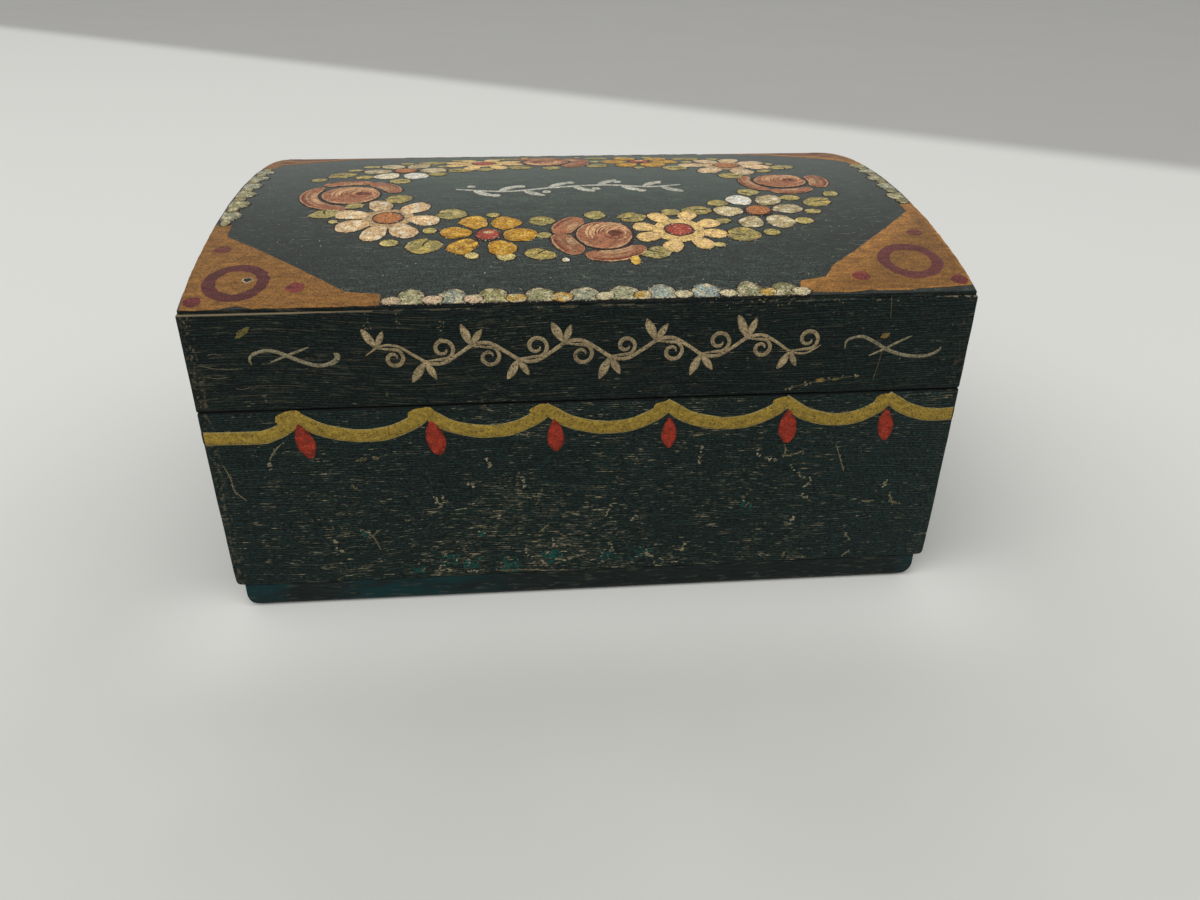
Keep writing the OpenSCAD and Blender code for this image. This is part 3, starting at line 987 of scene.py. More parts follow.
def flower(petals, discs, centre, turn, angles, reach, petal_size, petal_tints, light, disc, ring=None):
    """Teardrop petals round a disc with a dark outline that is partly painted shade at its edge, some on a
    pale ring.
    """
    long, short = petal_size
    disc_tint, disc_r = disc
    for angle, tint in zip(angles, petal_tints):
        out = reach * rng.uniform(0.96, 1.05)
        size = long * rng.uniform(0.94, 1.07), short * rng.uniform(0.94, 1.07)
        shape = oval(*size, angle + turn, 0.08, 0.16, count=26)
        bordered(petals, polar(centre, out, angle + turn), shape, PETAL_HIGH, tint, light)
    if ring:
        ring_r, ring_share = ring
        tint = petal_tints[0]
        shape = oval(ring_r, ring_r, count=30)
        discs.dab(centre, shape, HALO_HIGH, varied(tint * ring_share), streak=tint)
    discs.dab(centre, oval(disc_r + 0.42, disc_r + 0.38, 0, 0.05), PETAL_HIGH, OUTLINE_AND_EDGE_SHADE)
    discs.dab(centre, oval(disc_r, disc_r, 0, 0.05), DISC_HIGH, disc_tint * 0.8, disc_tint)


daisies = lid_relief("daisy_petals"), lid_relief("daisy_discs")
for cu, cv, turned in both_halves(-31.7, 27.6):
    flower(*daisies, (cu, cv), turned, (107, 47, -10, -61, -106, -153, 164), 6.0, (3.05, 2.1),
           [CREAM * share for share in (0.85, 1.0, 1.12, 0.9, 1.0, 1.0, 1.0)], PALE, (ORANGE, 2.5),
           (4.2, 0.62))
for cu, cv, turned in both_halves(16.4, 20.8):
    flower(*daisies, (cu, cv), turned, (120, 69, 23, -15, -57, -107, 203, 167), 5.7, (2.3, 1.6),
           (BUTTER,) * 8, CREAM, (CRIMSON, 2.3), (4.3, 0.82))

yellows = lid_relief("yellow_flower_petals"), lid_relief("yellow_flower_discs")
for cu, cv, turned in both_halves(-15.1, 20.3):
    flower(*yellows, (cu, cv), turned, (114, 57, -2, -64, -134, 170), 5.3, (2.65, 2.25),
           (YELLOW,) * 6, GOLD, (CRIMSON, 1.95))
    yellows[1].dab((cu + 0.2, cv + 0.75), oval(0.95, 0.55), GLINT_HIGH, CREAM)

whites = lid_relief("white_flower_petals"), lid_relief("white_flower_discs")
for (cu, cv, turned), second in zip(both_halves(31.3, 28.3), (BONE, PALE)):
    flower(*whites, (cu, cv), turned, (115, 59, 6, -60, -114, 182), 5.3, (2.6, 2.2),
           (WHITE, second, BONE, BONE * 1.1, BONE * 1.1, BONE * 1.4), PALE, (ORANGE, 2.2))

rose_balls = lid_relief("rose_balls", rose_paint)
rose_petals = lid_relief("rose_petals", rose_paint)
rose_lights = lid_relief("rose_lights", rose_paint)

# Light arcs on a rose ball: share of its size, first and last angle, width; dark ones have one width
ROSE_ARCS = (
    (1.05, 135, 195, 0.45), (0.90, 110, 205, 0.52), (0.78, 62, 190, 0.60), (0.66, 36, 175, 0.52),
    (0.54, 12, 165, 0.50), (0.42, -20, 150, 0.42), (0.30, 80, 190, 0.36), (0.52, -80, -10, 0.30),
)
DARK_ARCS = ((0.66, 105, 195), (0.55, 70, 180), (0.44, 40, 165), (0.36, 190, 300))
# Lights along a crescent petal: shares of its width for place and width, and tint
PETAL_LIGHTS = ((-0.22, 0.28, BLUSH * 0.75), (0.10, 0.14, BLUSH * 0.52), (0.30, 0.14, MAROON))


def rose(centre, size, turn, crescents):
    """A ball with arcs of light about a dark heart, and thick crescent petals close round it; the dark
    outlines under ball and petals are partly painted shade in the gaps.
    """
    wide, deep = size
    for angle, half, radius, width in crescents:
        middle = angle + turn
        thick = width * 0.80
        line = arc(centre, radius, middle - half, middle + half)
        rose_petals.brush(line, thick + 0.36, 0.25, 0.3, 0.06, OUTLINE_AND_EDGE_SHADE, None)
        rose_petals.brush(line, thick, 0.2, 0.3, 0.078, BLUSH * 0.75, rough=0.04)
        rose_petals.brush(line, thick - 0.3, 0.2, 0.3, 0.092, SALMON, rough=0.04)
        for offset, share, tint in PETAL_LIGHTS:
            light = arc(centre, radius + width * offset, middle - half * rng.uniform(0.5, 0.75),
                        middle + half * rng.uniform(0.3, 0.75))
            rose_lights.brush(light, width * share, 0.15, 0.4, 0.102, tint)
    rose_balls.dab(centre, oval(wide + 0.28, deep + 0.28, 0, 0.02, count=36), 0.085, OUTLINE_AND_EDGE_SHADE)
    rose_balls.dab(centre, oval(wide, deep, 0, 0.02, count=36), 0.10, varied(BLUSH * 0.75))
    rose_balls.dab(centre, oval(wide - 0.22, deep - 0.3, 0, 0.02, count=36), 0.115, SALMON * 0.9,
                   varied(SALMON, 0.05), streak=SALMON * 1.3)
    heart = polar(centre, 0.36 * wide, 12 + turn)
    rose_balls.dab(heart, oval(0.25 * wide, 0.24 * deep, turn, 0.3), 0.122, MAROON * 0.8, MAROON * 0.55)
    for share, start, end, width in ROSE_ARCS:
        line = arc(heart, wide * share * 0.92, start + turn, end + turn, 26, deep / wide)
        rose_lights.brush(line, width, 0.15, 0.5, 0.128, BLUSH)
    for share, start, end in DARK_ARCS:
        line = arc(heart, wide * share, start + turn, end + turn, 20, deep / wide)
        rose_lights.brush(line, 0.32, 0.15, 0.4, 0.126, MAROON * 0.8)


for cu, cv, turned in both_halves(3.9, 19.5):
    rose((cu, cv), (4.75, 5.2), turned, ((147, 30, 7.1, 4.3), (206, 31, 7.1, 4.1), (283, 42, 7.2, 3.7)))
rose((39.0, 44.5), (5.0, 4.6), 0, ((-4, 34, 7.2, 3.9), (277, 36, 6.7, 3.0), (193, 50, 6.6, 2.7)))
rose((-39.3, 39.6), (5.3, 5.1), 0, ((205, 68, 7.2, 3.3), (100, 33, 7.9, 3.2), (38, 32, 7.7, 3.6)))

# Corner ornaments with a ring and three dots each, and the heights of these
CORNER_HIGH, RING_HIGH, DOT_HIGH = 0.05, 0.075, 0.085
RING_WIDTH, RING_UNEVEN = 2.45, 0.4
LEFT_CORNER = (
    (-59.2, 0.5), (-56.9, 0.4), (-53.6, 0.6), (-51.3, 1.1), (-48.8, 0.5), (-38.5, 0.5), (-30.8, 0.6),
    (-30.8, 3.2), (-36.0, 3.8), (-39.7, 6.9), (-45.5, 12.0), (-51.5, 17.2), (-56.5, 21.3),
    (-56.7, 25.7), (-59.3, 25.8), (-59.4, 16.6), (-59.4, 5.5),
)
RIGHT_CORNER = (
    (59.2, 2.0), (55.6, 1.7), (52.4, 1.5), (47.5, 1.1), (42.9, 1.4), (39.7, 0.9), (34.2, 1.2), (32.0, 1.1),
    (32.7, 4.0), (36.9, 5.0), (39.5, 8.7), (43.2, 11.9), (47.4, 16.2), (51.6, 20.4), (57.0, 26.6),
    (57.0, 30.0), (59.2, 30.8), (59.4, 23.4), (59.4, 11.3), (59.4, 3.2),
)
# Outline, heart, centre and radius of the ring, tints of rim, middle and ring, places of the dots
CORNERS = (
    (LEFT_CORNER, (-57.2, 2.6), (-52.3, 6.9), 3.95, (CORNER, CORNER, RING * 0.92),
     ((-56.3, 16.7), (-43.4, 5.2), (-57.7, 2.2))),
    (RIGHT_CORNER, (57.2, 3.0), (51.7, 9.0), 4.2, (CORNER * 1.5, CORNER * 0.82, RING * 1.2),
     ((55.5, 18.0), (42.5, 4.9), (57.7, 3.4))),
)
corners = lid_relief("corner_ornaments", corner_paint)
rings = lid_relief("corner_rings", corner_paint)
dots = lid_relief("corner_dots", corner_paint)
dots.dab((-50.6, 7.4), oval(0.95, 0.6, 0, 0.25), RING_HIGH, PALE * 0.7, VEIN * 0.3)


def ragged(points, step=0.8, rough=0.13):
    """A polygon's edge cut into short steps and made uneven by the brush."""
    edge = []
    for (u0, v0), (u1, v1) in zip(points, points[1:] + points[:1]):
        count = max(1, round(math.hypot(u1 - u0, v1 - v0) / step))
        for i in range(count):
            u, v = u0 + (u1 - u0) * i / count, v0 + (v1 - v0) * i / count
            edge.append((u + rough * wobble(u, v, 1.5), v + rough * wobble(u, v, 7.5)))
    return edge


def mirrored(place, rear):
    """A place in front as it is, or mirrored to the rear half of the lid top."""
    return (place[0], BOX_DEPTH - place[1]) if rear else place


def corner_ornament(outline, heart, ring_centre, ring_radius, tints, dot_places):
    """A painted corner with a ring and three dots."""
    around = [(u - heart[0], v - heart[1]) for u, v in ragged(outline)]
    rim, middle, ring_tint = tints
    corners.dab(heart, around, CORNER_HIGH, rim, middle, PATCH_PROFILE, (rim + middle) * 0.38)
    circle = arc(ring_centre, ring_radius, 0, 360, 49)[:-1]
    widths = [RING_WIDTH + RING_UNEVEN * wobble(i / 5, 2.0, ring_centre[0]) for i in range(len(circle))]
    rings.stroke(circle, widths, RING_HIGH, ring_tint, True)
    for place, tint in zip(dot_places, (DOT_FADED, DOT, DOT_DARK)):
        dots.dab(place, oval(1.4, 1.2, 0, 0.12), DOT_HIGH, varied(tint))


for outline, heart, ring_centre, ring_radius, tints, dot_places in CORNERS:
    for rear in (False, True):
        corner_ornament([mirrored(p, rear) for p in outline], mirrored(heart, rear),
                        mirrored(ring_centre, rear), ring_radius, tints,
                        [mirrored(p, rear) for p in dot_places])

# Bead border between the corners: large beads with their share of pale blue, small ones with their tint
beads = lid_relief("bead_border", bead_paint)
FRONT_BIG = (
    (-26.3, 0.15), (-20.1, 0.6), (-14.2, 0.0), (-7.3, 0.15), (-0.6, 0.45), (5.3, 0.3), (11.1, 0.85),
    (17.7, 1.0), (24.4, 0.2), (29.8, 0.1),
)
FRONT_SMALL = (
    (-29.2, BEAD_PINK), (-23.1, BEAD_PINK), (-17.1, BEAD_PINK), (-10.7, BEAD_OCHRE), (-4.0, BEAD_OCHRE),
    (2.4, BEAD_CREAM), (8.1, BEAD_OCHRE), (14.3, BEAD_CREAM), (21.1, BEAD_CREAM), (27.1, BEAD_OCHRE),
    (32.3, BEAD_CREAM),
)
# Side, angle, and along the end the large beads, the small ones and the size of the large ones
END_BEADS = (
    (-1, -90, (29.6, 35.2, 40.8, 46.4, 52.0, 57.6), (26.8, 32.4, 38.0, 43.6, 49.2, 54.8, 60.2), 0.95),
    (1, 90, (34.2, 39.8, 45.4, 51.0, 56.0), (31.6, 37.0, 42.6, 48.2, 53.6), 0.85),
)
# How far in from the edge the beads lie: large ones, small ones, small ones at the ends
BIG_IN, SMALL_IN, END_SMALL_IN = 1.6, 1.4, 1.7


def bead(place, shape, spread, heights, dark, rim, tint):
    """A dab with a darker rim over a dark one spread a little wider: partly the painter's outline, partly
    painted shade at the bead's edge and in the gaps between beads.
    """
    beads.dab(place, [(a * spread[0], b * spread[1]) for a, b in shape], heights[0], OUTLINE_AND_EDGE_SHADE * dark)
    beads.dab(place, shape, heights[1], varied(tint * rim), varied(tint), streak=BEAD_CREAM)


def big_bead(u, v, angle, pale, size=1.0):
    """A half-round dab whose flat side is towards the edge."""
    wide, deep = size * rng.uniform(2.1, 2.45), size * rng.uniform(2.1, 2.5)
    shape = [turned_by(a, max(b, -1.05), angle) for a, b in oval(wide, deep, count=30)]
    tint = BEAD_OLIVE + (BEAD_PALE - BEAD_OLIVE) * pale
    bead((u, v), shape, (1.13, 1.06), (0.05, 0.10), 0.5, 0.35, tint)


def small_bead(u, v, angle, tint):
    """A flat oval dab between two large beads."""
    shape = oval(rng.uniform(1.4, 1.75), rng.uniform(0.85, 1.05), angle, 0.1, count=24)
    bead((u, v), shape, (1.14, 1.05), (0.105, 0.125), 0.6, 0.5, tint)


LONG_EDGES = ((1, 0, BIG_IN, SMALL_IN), (-1, 180, BOX_DEPTH - BIG_IN, BOX_DEPTH - SMALL_IN))
for side, angle, v_big, v_small in LONG_EDGES:
    for u, pale in FRONT_BIG:
        big_bead(side * u, v_big, angle, pale)
    for u, tint in FRONT_SMALL:
        small_bead(side * u, v_small, angle, tint)
for side, angle, bigs, smalls, size in END_BEADS:
    for v in bigs:
        big_bead(side * (TOP_HALF_W - BIG_IN), v, angle, rng.uniform(0.0, 0.6), size)
    for v in smalls:
        small_bead(side * (TOP_HALF_W - END_SMALL_IN), v, angle, BEAD_OLIVE * 0.8)

# A small sprig in the middle of the wreath
sprig = lid_relief("centre_sprig", thin_paint)
stem = curve([(-21, 42.0), (-12, 40.4), (-3, 42.4), (6, 43.6), (14, 42.0), (20, 43.0)])
sprig.brush(stem, 0.75, 0.3, 0.0, 0.08, SPRIG, None)
for i, (u, v) in enumerate(stem[3:-3:4]):
    side = 1 if i % 2 else -1
    leaf = curve([(u, v), (u + 1.4, v + side * 1.9), (u + 3.6, v + side * 3.4)], 6)
    sprig.brush(leaf, 0.85, 0.2, 0.9, 0.09, SPRIG)
    sprig.dab((u - 0.6, v - side * 2.4), oval(0.8, 0.7), 0.09, varied(SPRIG))

# Swag with drops round the body: where its peaks and lowest places lie, its widths and heights of paint
PEAK, LOW, END_LOW = 31.6, 28.15, 28.4
SQUARE_ENDS = 2.6
BAND_WIDTH, BAND_UNEVEN, BAND_RIM = 2.25, 0.07, 0.22
RIM_HIGH, BAND_HIGH, DROP_HIGH = 0.06, 0.085, 0.10
swag_band = wall_relief("swag_band", "box", wall_oil_paint)
swag_drops = wall_relief("swag_drops", "box", wall_oil_paint)


def scallop(start, end):
    """Places along a scallop that hangs between two peaks."""
    third = (end - start) / 3
    half_way = (PEAK + LOW) / 2
    bends = ((0.5, half_way - 0.35), (1.1, LOW + 0.25), (1.55, LOW), (2.05, LOW + 0.35),
             (2.55, half_way - 0.1))
    return curve([(start, PEAK), *((start + share * third, v) for share, v in bends), (end, PEAK)], 6)


def run_out(peak_u, reach, edge_u):
    """The band from its last peak down to its lowest place, and from there level to the edge of the board."""
    side = math.copysign(1.0, edge_u)
    half_way = (PEAK + END_LOW) / 2
    bends = ((0.33, half_way - 0.2), (0.7, END_LOW + 0.3), (1.0, END_LOW))
    down = [(peak_u + side * share * reach, v) for share, v in bends]
    line = curve([(peak_u, PEAK), *down, (edge_u, END_LOW + 0.1)], 6)
    return line[::-1] if side < 0 else line


def band(line):
    """One length of the band with its pale rim."""
    seed = rng.uniform(0, 90)
    widths = [BAND_WIDTH * (1 + BAND_UNEVEN * wobble(i / 4, seed)) for i in range(len(line))]
    swag_band.stroke(line, [w + BAND_RIM for w in widths], RIM_HIGH, SWAG_RIM, upright=SQUARE_ENDS)
    swag_band.stroke(line, widths, BAND_HIGH, varied(SWAG, 0.05), upright=SQUARE_ENDS)


def garland(place, edge, reach, peaks, knobs, drop_places):
    """A band from edge to edge of a face, with knobs of paint at its peaks and drops under them."""
    swag_band.place = swag_drops.place = place
    band(run_out(peaks[0], reach[0], -edge))
    for a, b in zip(peaks, peaks[1:]):
        band(scallop(a, b))
    band(run_out(peaks[-1], reach[1], edge))
    for u, size in zip(peaks, knobs):
        shape = oval(2.4 * size, 1.3 * size, 6, 0.08)
        swag_band.dab((u - 1.0 * size, PEAK - 0.05), shape, DROP_HIGH, varied(SWAG, 0.05))
    for u, v, long, short, lean_angle in drop_places:
        shape = oval(long, short, 90 + lean_angle, 0.05, -0.22, None, 30, 0.3)
        swag_drops.dab((u, v), shape, DROP_HIGH, DROP * 0.6, varied(DROP, 0.08), streak=DROP * 1.25)


EDGE = HALF_W - SKIN - 0.4
END_EDGE = BACK_Y - SKIN - 0.4
PLAIN_REACH, PLAIN_KNOB = (10.5, 10.5), 0.7
FRONT_PEAKS = (-45.1, -25.3, -6.5, 12.6, 31.8, 48.6)
FRONT_DROPS = (
    (-44.4, 27.5, 3.1, 1.45, 12), (-24.3, 27.3, 3.2, 1.5, 10), (-5.4, 27.0, 2.95, 1.35, 2),
    (12.8, 26.8, 2.7, 1.25, 0), (32.2, 27.1, 3.1, 1.45, 2), (48.5, 26.9, 2.95, 1.3, 6),
)
END_PEAKS = (-31.0, -10.5, 10.2, 30.6)
BACK_PEAKS = (-48.0, -24.0, -9.5, 9.5, 24.0, 48.0)
garland(on_front, EDGE, (6.6, 8.2), FRONT_PEAKS, (1.0, 0.95, 0.85, 0.7, 0.75, 0.75), FRONT_DROPS)
for place in (on_left, on_right):
    end_drops = [(u + rng.uniform(0, 0.8), 27.0, 2.95, 1.35, rng.uniform(-5, 8)) for u in END_PEAKS]
    garland(place, END_EDGE, PLAIN_REACH, END_PEAKS, (PLAIN_KNOB,) * len(END_PEAKS), end_drops)
garland(on_back, EDGE, PLAIN_REACH, BACK_PEAKS, (PLAIN_KNOB,) * len(BACK_PEAKS), [])


# Thin brush strokes on the lid front: two flourishes and a vine between them
def thin(relief, points, width, tint=STROKE, swell=0.5, height=0.07):
    """A thin brush stroke through points."""
    relief.brush(curve(points), width, 0.25, swell, height, tint, 0.06)


# Width, swell and places of each stroke
FLOURISHES = (
    (0.38, 0.7, ((-50.3, 40.8), (-50.3, 42.1), (-48.3, 43.0), (-46.5, 42.8), (-44.8, 42.0), (-43.2, 41.2),
                 (-41.0, 40.4), (-39.2, 40.5), (-37.8, 41.1), (-37.5, 42.0), (-38.2, 42.3))),
    (0.28, 0.5, ((-47.7, 41.0), (-45.3, 42.0), (-43.2, 42.8), (-41.6, 43.4))),
    (0.55, 0.5, ((-39.9, 40.35), (-38.4, 40.8), (-37.7, 41.6), (-38.0, 42.3))),
    (0.3, 0.5, ((-50.6, 41.2), (-50.0, 42.4), (-48.4, 43.1))),
    (0.36, 0.7, ((39.8, 40.6), (40.1, 42.1), (42.3, 42.6), (44.5, 41.6), (46.8, 40.2), (49.8, 39.2),
                 (53.0, 39.0), (54.9, 39.8), (55.3, 40.5))),
    (0.28, 0.5, ((43.8, 39.3), (46.2, 40.4), (48.4, 41.6), (50.3, 42.5))),
)
flourishes = wall_relief("lid_flourishes", "lid")
for width, swell, points in FLOURISHES:
    thin(flourishes, points, width, FINE_STROKE, swell)

vine = wall_relief("lid_vine", "lid")
WAVE = 14.0
VINE_FROM, VINE_TO = -33.6, 36.0
VINE_V, VINE_SWING = 41.7, 1.7


def stem_place(u):
    """The place of the vine's waving stem."""
    return u, VINE_V + VINE_SWING * math.sin(2 * math.pi * (u - VINE_FROM) / WAVE)


def tendril(start, side, size):
    """A tendril that leaves the stem and curls in on itself."""
    u, v = start
    widest, shrink, steps = 1.75, 1.2, 9
    first_angle, step_angle = 110, 52
    centre = (u + 2.6 * size, v + side * 1.9 * size)
    curl = [polar(centre, size * (widest - shrink * k / steps), -side * (first_angle - step_angle * k))
            for k in range(steps + 1)]
    thin(vine, [(u - 0.6, v), *curl], 0.40, STROKE * 0.85, 0.7)


def almond(root, angle, long):
    """A pointed leaf that grows from its root."""
    shape = oval(long, long * 0.34, angle, 0.05, 0.1, None, 24, 0.45)
    vine.dab(polar(root, long, angle), shape, 0.085, STROKE * 0.6, varied(STROKE), streak=STROKE * 1.3)


thin(vine, [stem_place(u) for u in np.linspace(VINE_FROM, VINE_TO, 31)], 0.5, STROKE, 0.3)
for i in range(10):
    place = stem_place(VINE_FROM + WAVE * (i + 0.25) / 2)
    side = 1 if i % 2 else -1
    tendril(place, side, rng.uniform(0.92, 1.1))
    almond(place, -side * rng.uniform(108, 126), rng.uniform(1.7, 2.1))
    almond(place, -side * rng.uniform(54, 70), rng.uniform(1.4, 1.8))


# Stray marks
def chip(relief, place, size, tint):
    """A speck of paint or bare wood with a ragged outline."""
    long, short = size * rng.uniform(0.6, 1.4), size * rng.uniform(0.35, 0.7)
    shape = oval(long, short, rng.uniform(-50, 100), 0.3, count=12)
    relief.dab(place, shape, 0.03, varied(tint, 0.3), varied(tint, 0.4), CHIP_PROFILE)


def scuff(relief, points, size, tint, spread=0.25):
    """A rough mark: chips scattered along a line."""
    line = curve(points, 5)
    for _ in range(5 + len(line) // 2):
        u, v = line[rng.randrange(len(line))]
        chip(relief, (u + rng.uniform(-spread, spread), v + rng.uniform(-spread, spread)), size, tint)


STRAY_DABS = (
    (-50.8, 46.0, 1.3, 0.5, 35, OCHRE), (46.0, 42.7, 0.8, 0.45, 10, AMBER), (36.6, 35.3, 0.8, 0.4, 5, AMBER),
    (39.0, 35.4, 0.5, 0.25, 10, OCHRE),
)
LID_SCUFFS = (
    ((19.0, 48.9), (22.0, 48.3), (25.5, 48.9), (29.0, 48.5)), ((29.0, 48.9), (33.0, 48.4), (37.5, 48.6)),
    ((38.0, 48.4), (44.0, 48.2), (50.0, 48.5)), ((-32.7, 48.3), (-32.8, 45.7)),
    ((-21.9, 48.2), (-22.1, 44.0)), ((-28.4, 48.3), (-28.6, 46.3)),
)
LID_SCRATCHES = (
    ((31.3, 34.0), (35.0, 34.9), (42.4, 35.9)), ((46.0, 49.2), (46.4, 45.5)),
    ((46.0, 41.2), (45.6, 37.7), (45.1, 35.0)), ((-58.0, 40.9), (-55.0, 40.2), (-51.5, 40.2)),
    ((-56.4, 42.5), (-55.4, 42.7), (-54.4, 42.4)), ((-53.3, 37.0), (-52.2, 36.8), (-51.1, 37.1)),
    ((-57.2, 39.0), (-55.6, 38.7), (-53.9, 38.9)),
)
marks = wall_relief("lid_stray_dabs", "lid")
for u, v, long, short, angle, tint in STRAY_DABS:
    marks.dab((u, v), oval(long, short, angle, 0.2), 0.06, tint * 0.6, tint, streak=tint * 1.4)
scuff(marks, ((31.3, 34.0), (35.0, 34.9), (38.6, 35.5), (42.4, 35.9)), 0.26, SCRATCH * 1.15)
for points in LID_SCUFFS:
    scuff(marks, points, 0.17, SCRATCH * 0.75, 0.55)
for points in LID_SCRATCHES:
    thin(marks, points, 0.13, SCRATCH * 0.6, 0.0, 0.04)

# Worn places on the body front: fine scratches, rough scuffs, and teal where the first paint shows
FINE_MARKS = (
    ((-57.5, 23.7), (-56.8, 21.2), (-56.5, 18.8), (-54.9, 16.9)),
    ((-47.9, 27.3), (-49.4, 25.8), (-50.3, 24.2)), ((-37.9, 10.7), (-36.0, 9.1), (-34.9, 6.3)),
    ((-34.7, 10.3), (-36.2, 8.9)),
    ((31.6, 21.6), (33.5, 21.8), (35.4, 22.5)), ((32.2, 23.5), (32.3, 22.1)),
    ((40.7, 23.5), (41.8, 20.6), (42.7, 18.3)), ((-15.9, 0.9), (-12.4, 0.8), (-8.0, 0.6)),
    ((-8.1, 8.5), (-7.0, 10.0)), ((44.5, 5.7), (45.7, 4.0)), ((34.3, 2.1), (34.0, 0.8)),
    ((36.4, 0.9), (38.2, 0.7)), ((44.6, 0.6), (46.0, 1.9)), ((51.3, 13.7), (52.1, 11.3)),
    ((47.0, 11.9), (49.0, 12.1)), ((51.4, 11.8), (53.2, 11.2)),
)
PALE_SCUFFS = (
    ((-25.2, 16.4), (-25.0, 14.6)), ((-23.8, 16.5), (-24.5, 14.5)),
    ((-20.1, 18.3), (-19.4, 18.6), (-18.8, 18.0)), ((-10.9, 19.3), (-10.5, 17.7), (-11.1, 17.5)),
    ((3.5, 13.3), (2.9, 11.6)), ((8.1, 10.9), (7.2, 10.3)),
    ((-17.0, 23.1), (-16.3, 22.7), (-16.0, 21.8)), ((-24.2, 4.9), (-24.3, 3.9)),
    ((-26.0, 1.2), (-25.1, 2.5), (-23.8, 1.2)), ((-20.8, 0.9), (-19.4, 0.9)), ((-10.7, 5.8), (-10.6, 3.5)),
    ((-6.2, 7.1), (-6.0, 5.7), (-5.3, 5.9)), ((3.6, 5.5), (4.1, 3.9)), ((-8.2, 2.7), (-7.3, 1.5)),
    ((-4.1, 2.3), (-3.2, 2.9)), ((33.5, 19.8), (34.7, 18.4), (35.9, 17.4)),
    ((37.0, 17.0), (36.9, 16.1), (36.3, 15.3)), ((35.8, 14.6), (36.2, 13.6), (36.9, 13.2)),
    ((50.5, 16.2), (50.1, 14.9)), ((35.8, 10.1), (34.9, 8.8)), ((9.5, 3.1), (10.8, 2.6), (11.4, 1.3)),
    ((16.6, 4.7), (16.0, 3.3)), ((18.7, 24.6), (18.2, 22.3), (18.0, 20.9)),
    ((27.7, 23.0), (28.0, 21.7), (29.4, 21.2), (30.8, 21.0)), ((-42.2, 8.4), (-42.0, 7.9)),
    ((-42.0, 6.9), (-41.3, 6.4)), ((-50.4, 23.8), (-50.1, 22.5)), ((-15.1, 12.2), (-15.0, 11.7)),
)
TAN_SCUFFS = (
    ((-11.3, 20.5), (-11.7, 18.4), (-11.7, 16.1)), ((-7.9, 16.7), (-8.6, 15.2), (-8.8, 13.8)),
    ((-38.2, 19.2), (-37.6, 18.5)), ((-36.6, 23.9), (-35.4, 23.9)), ((-34.2, 24.0), (-33.2, 24.1)),
)
PATCHES = (
    (-29.1, 2.2, 1.1), (-23.5, 3.7, 1.3), (-20.1, 2.5, 1.5), (-13.7, 2.3, 1.6), (-6.2, 3.4, 1.7),
    (3.2, 3.2, 1.4), (9.3, 3.5, 1.2), (26.4, 12.3, 1.0), (-17.9, 8.5, 0.8), (-37.0, 9.6, 0.9),
)
LOWEST_CHIP = 0.5

scratches = wall_relief("body_scratches", "box")
for points in FINE_MARKS:
    thin(scratches, points, 0.17, SCRATCH * 0.85, 0.5, 0.04)
    scuff(scratches, points, 0.17, SCRATCH)

patches = wall_relief("body_patches", "box")
for u, v, size in PATCHES:
    for _ in range(9):
        beside = u + size * rng.gauss(0, 0.55), max(LOWEST_CHIP, v + size * rng.gauss(0, 0.4))
        chip(patches, beside, 0.42 * size, TEAL)
    for _ in range(4):
        beside = u + size * rng.uniform(-1, 1), max(LOWEST_CHIP, v + size * rng.uniform(-0.8, 0.8))
        chip(patches, beside, 0.2, CHALK)

scuffs = wall_relief("body_scuffs", "box")
for points in PALE_SCUFFS:
    scuff(scuffs, points, 0.22, CHALK)
for points in TAN_SCUFFS:
    scuff(scuffs, points, 0.2, RUST)

for relief in reliefs:
    relief.build()


# Stage, lights and camera
def floor_material():
    """A pale table top that turns to grey past its far edge, with a painted shadow in front of the box and
    painted light just before it.
    """
    s = Shader("pale_table", Specular_IOR_Level=0.2)
    x, y, _ = s.axes()
    past = x * 0.575 + y * 0.818
    grain = s.noise(0.02, 3.0, 0.5, 2.0)
    # Painted shadow: the table is darker round a place in front of the box, where the camera's shadow fell,
    # and lighter away from it
    forward = y + 95.0
    away = s.math("SQRT", x * x + forward * forward)
    s.paint = s.mix(away.ramp(30, 210), (198, 198, 194), (219, 219, 215))
    s.lay(grain.ramp(0.3, 0.7, 0.0, 0.15), (222, 222, 218))
    # Painted light: the table is lighter just in front of the box, where the box's own shade would fall
    painted_front_light = y.ramp(-72, -46) * y.ramp(-34, -44) * abs(x).ramp(84, 52, 0.0, 0.85)
    s.lay(painted_front_light, (228, 228, 224))
    s.lay(past.ramp(338, 372), (172, 171, 168))
    return s.finish(grain.ramp(0.3, 0.7, 0.55, 0.6), grain, 0.01)


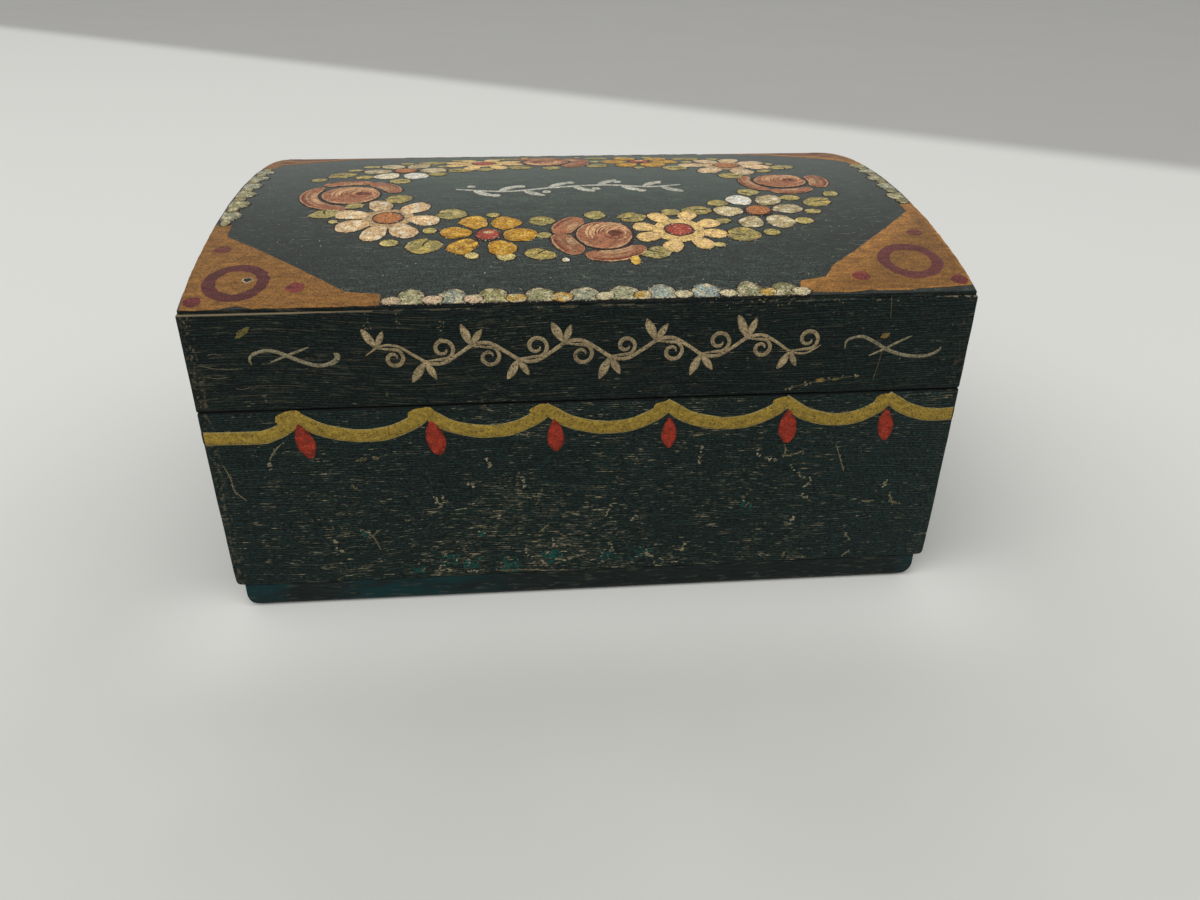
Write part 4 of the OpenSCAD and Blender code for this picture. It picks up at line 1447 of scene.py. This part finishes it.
def add_floor():
    """The table top, in metres."""
    size = 3.0
    mesh = bpy.data.meshes.new("table_top")
    outline = [(-size, -size, 0), (size, -size, 0), (size, size, 0), (-size, size, 0)]
    mesh.from_pydata(outline, [], [(0, 1, 2, 3)])
    mesh.materials.append(floor_material())
    floor = bpy.data.objects.new("table_top", mesh)
    bpy.context.scene.collection.objects.link(floor)


def add_panel(name, place, target, size, watts):
    """A large soft lamp panel."""
    data = bpy.data.lights.new(name, "AREA")
    data.shape = "SQUARE"
    data.size = size
    data.energy = watts
    lamp = bpy.data.objects.new(name, data)
    lamp.location = place
    lamp.rotation_euler = (Vector(target) - Vector(place)).to_track_quat("-Z", "Y").to_euler()
    bpy.context.scene.collection.objects.link(lamp)


def add_world(strength):
    """Even light from all round."""
    world = bpy.data.worlds.new("soft_room")
    world.use_nodes = True
    background = world.node_tree.nodes["Background"]
    background.inputs["Color"].default_value = (1.0, 1.0, 0.99, 1.0)
    background.inputs["Strength"].default_value = strength
    bpy.context.scene.world = world


def add_camera():
    """The photograph's camera: place, turn, tilt and roll found from the box's edges."""
    place_mm = Vector((-10.7, -180.0, 107.8))
    yaw, pitch, roll = (math.radians(a) for a in (5.21, 30.11, 0.52))
    ahead = Vector((math.sin(yaw) * math.cos(pitch), math.cos(yaw) * math.cos(pitch), -math.sin(pitch)))
    level = Vector((math.cos(yaw), -math.sin(yaw), 0.0))
    upward = level.cross(ahead)
    right = level * math.cos(roll) + upward * math.sin(roll)
    up = upward * math.cos(roll) - level * math.sin(roll)
    data = bpy.data.cameras.new("photo_camera")
    data.sensor_width = 36.0
    data.lens = 29.43
    data.clip_start = 0.01
    camera = bpy.data.objects.new("photo_camera", data)
    matrix = Matrix((right, up, -ahead)).transposed().to_4x4()
    matrix.translation = place_mm * MM
    camera.matrix_world = matrix
    bpy.context.scene.collection.objects.link(camera)
    bpy.context.scene.camera = camera


add_floor()
add_world(strength=0.66)
add_panel("ceiling_panel", place=(-0.35, -0.55, 1.2), target=(0, 0, 0), size=1.4, watts=10.0)
add_camera()
bpy.context.scene.view_settings.view_transform = "Standard"

bpy.context.view_layer.update()
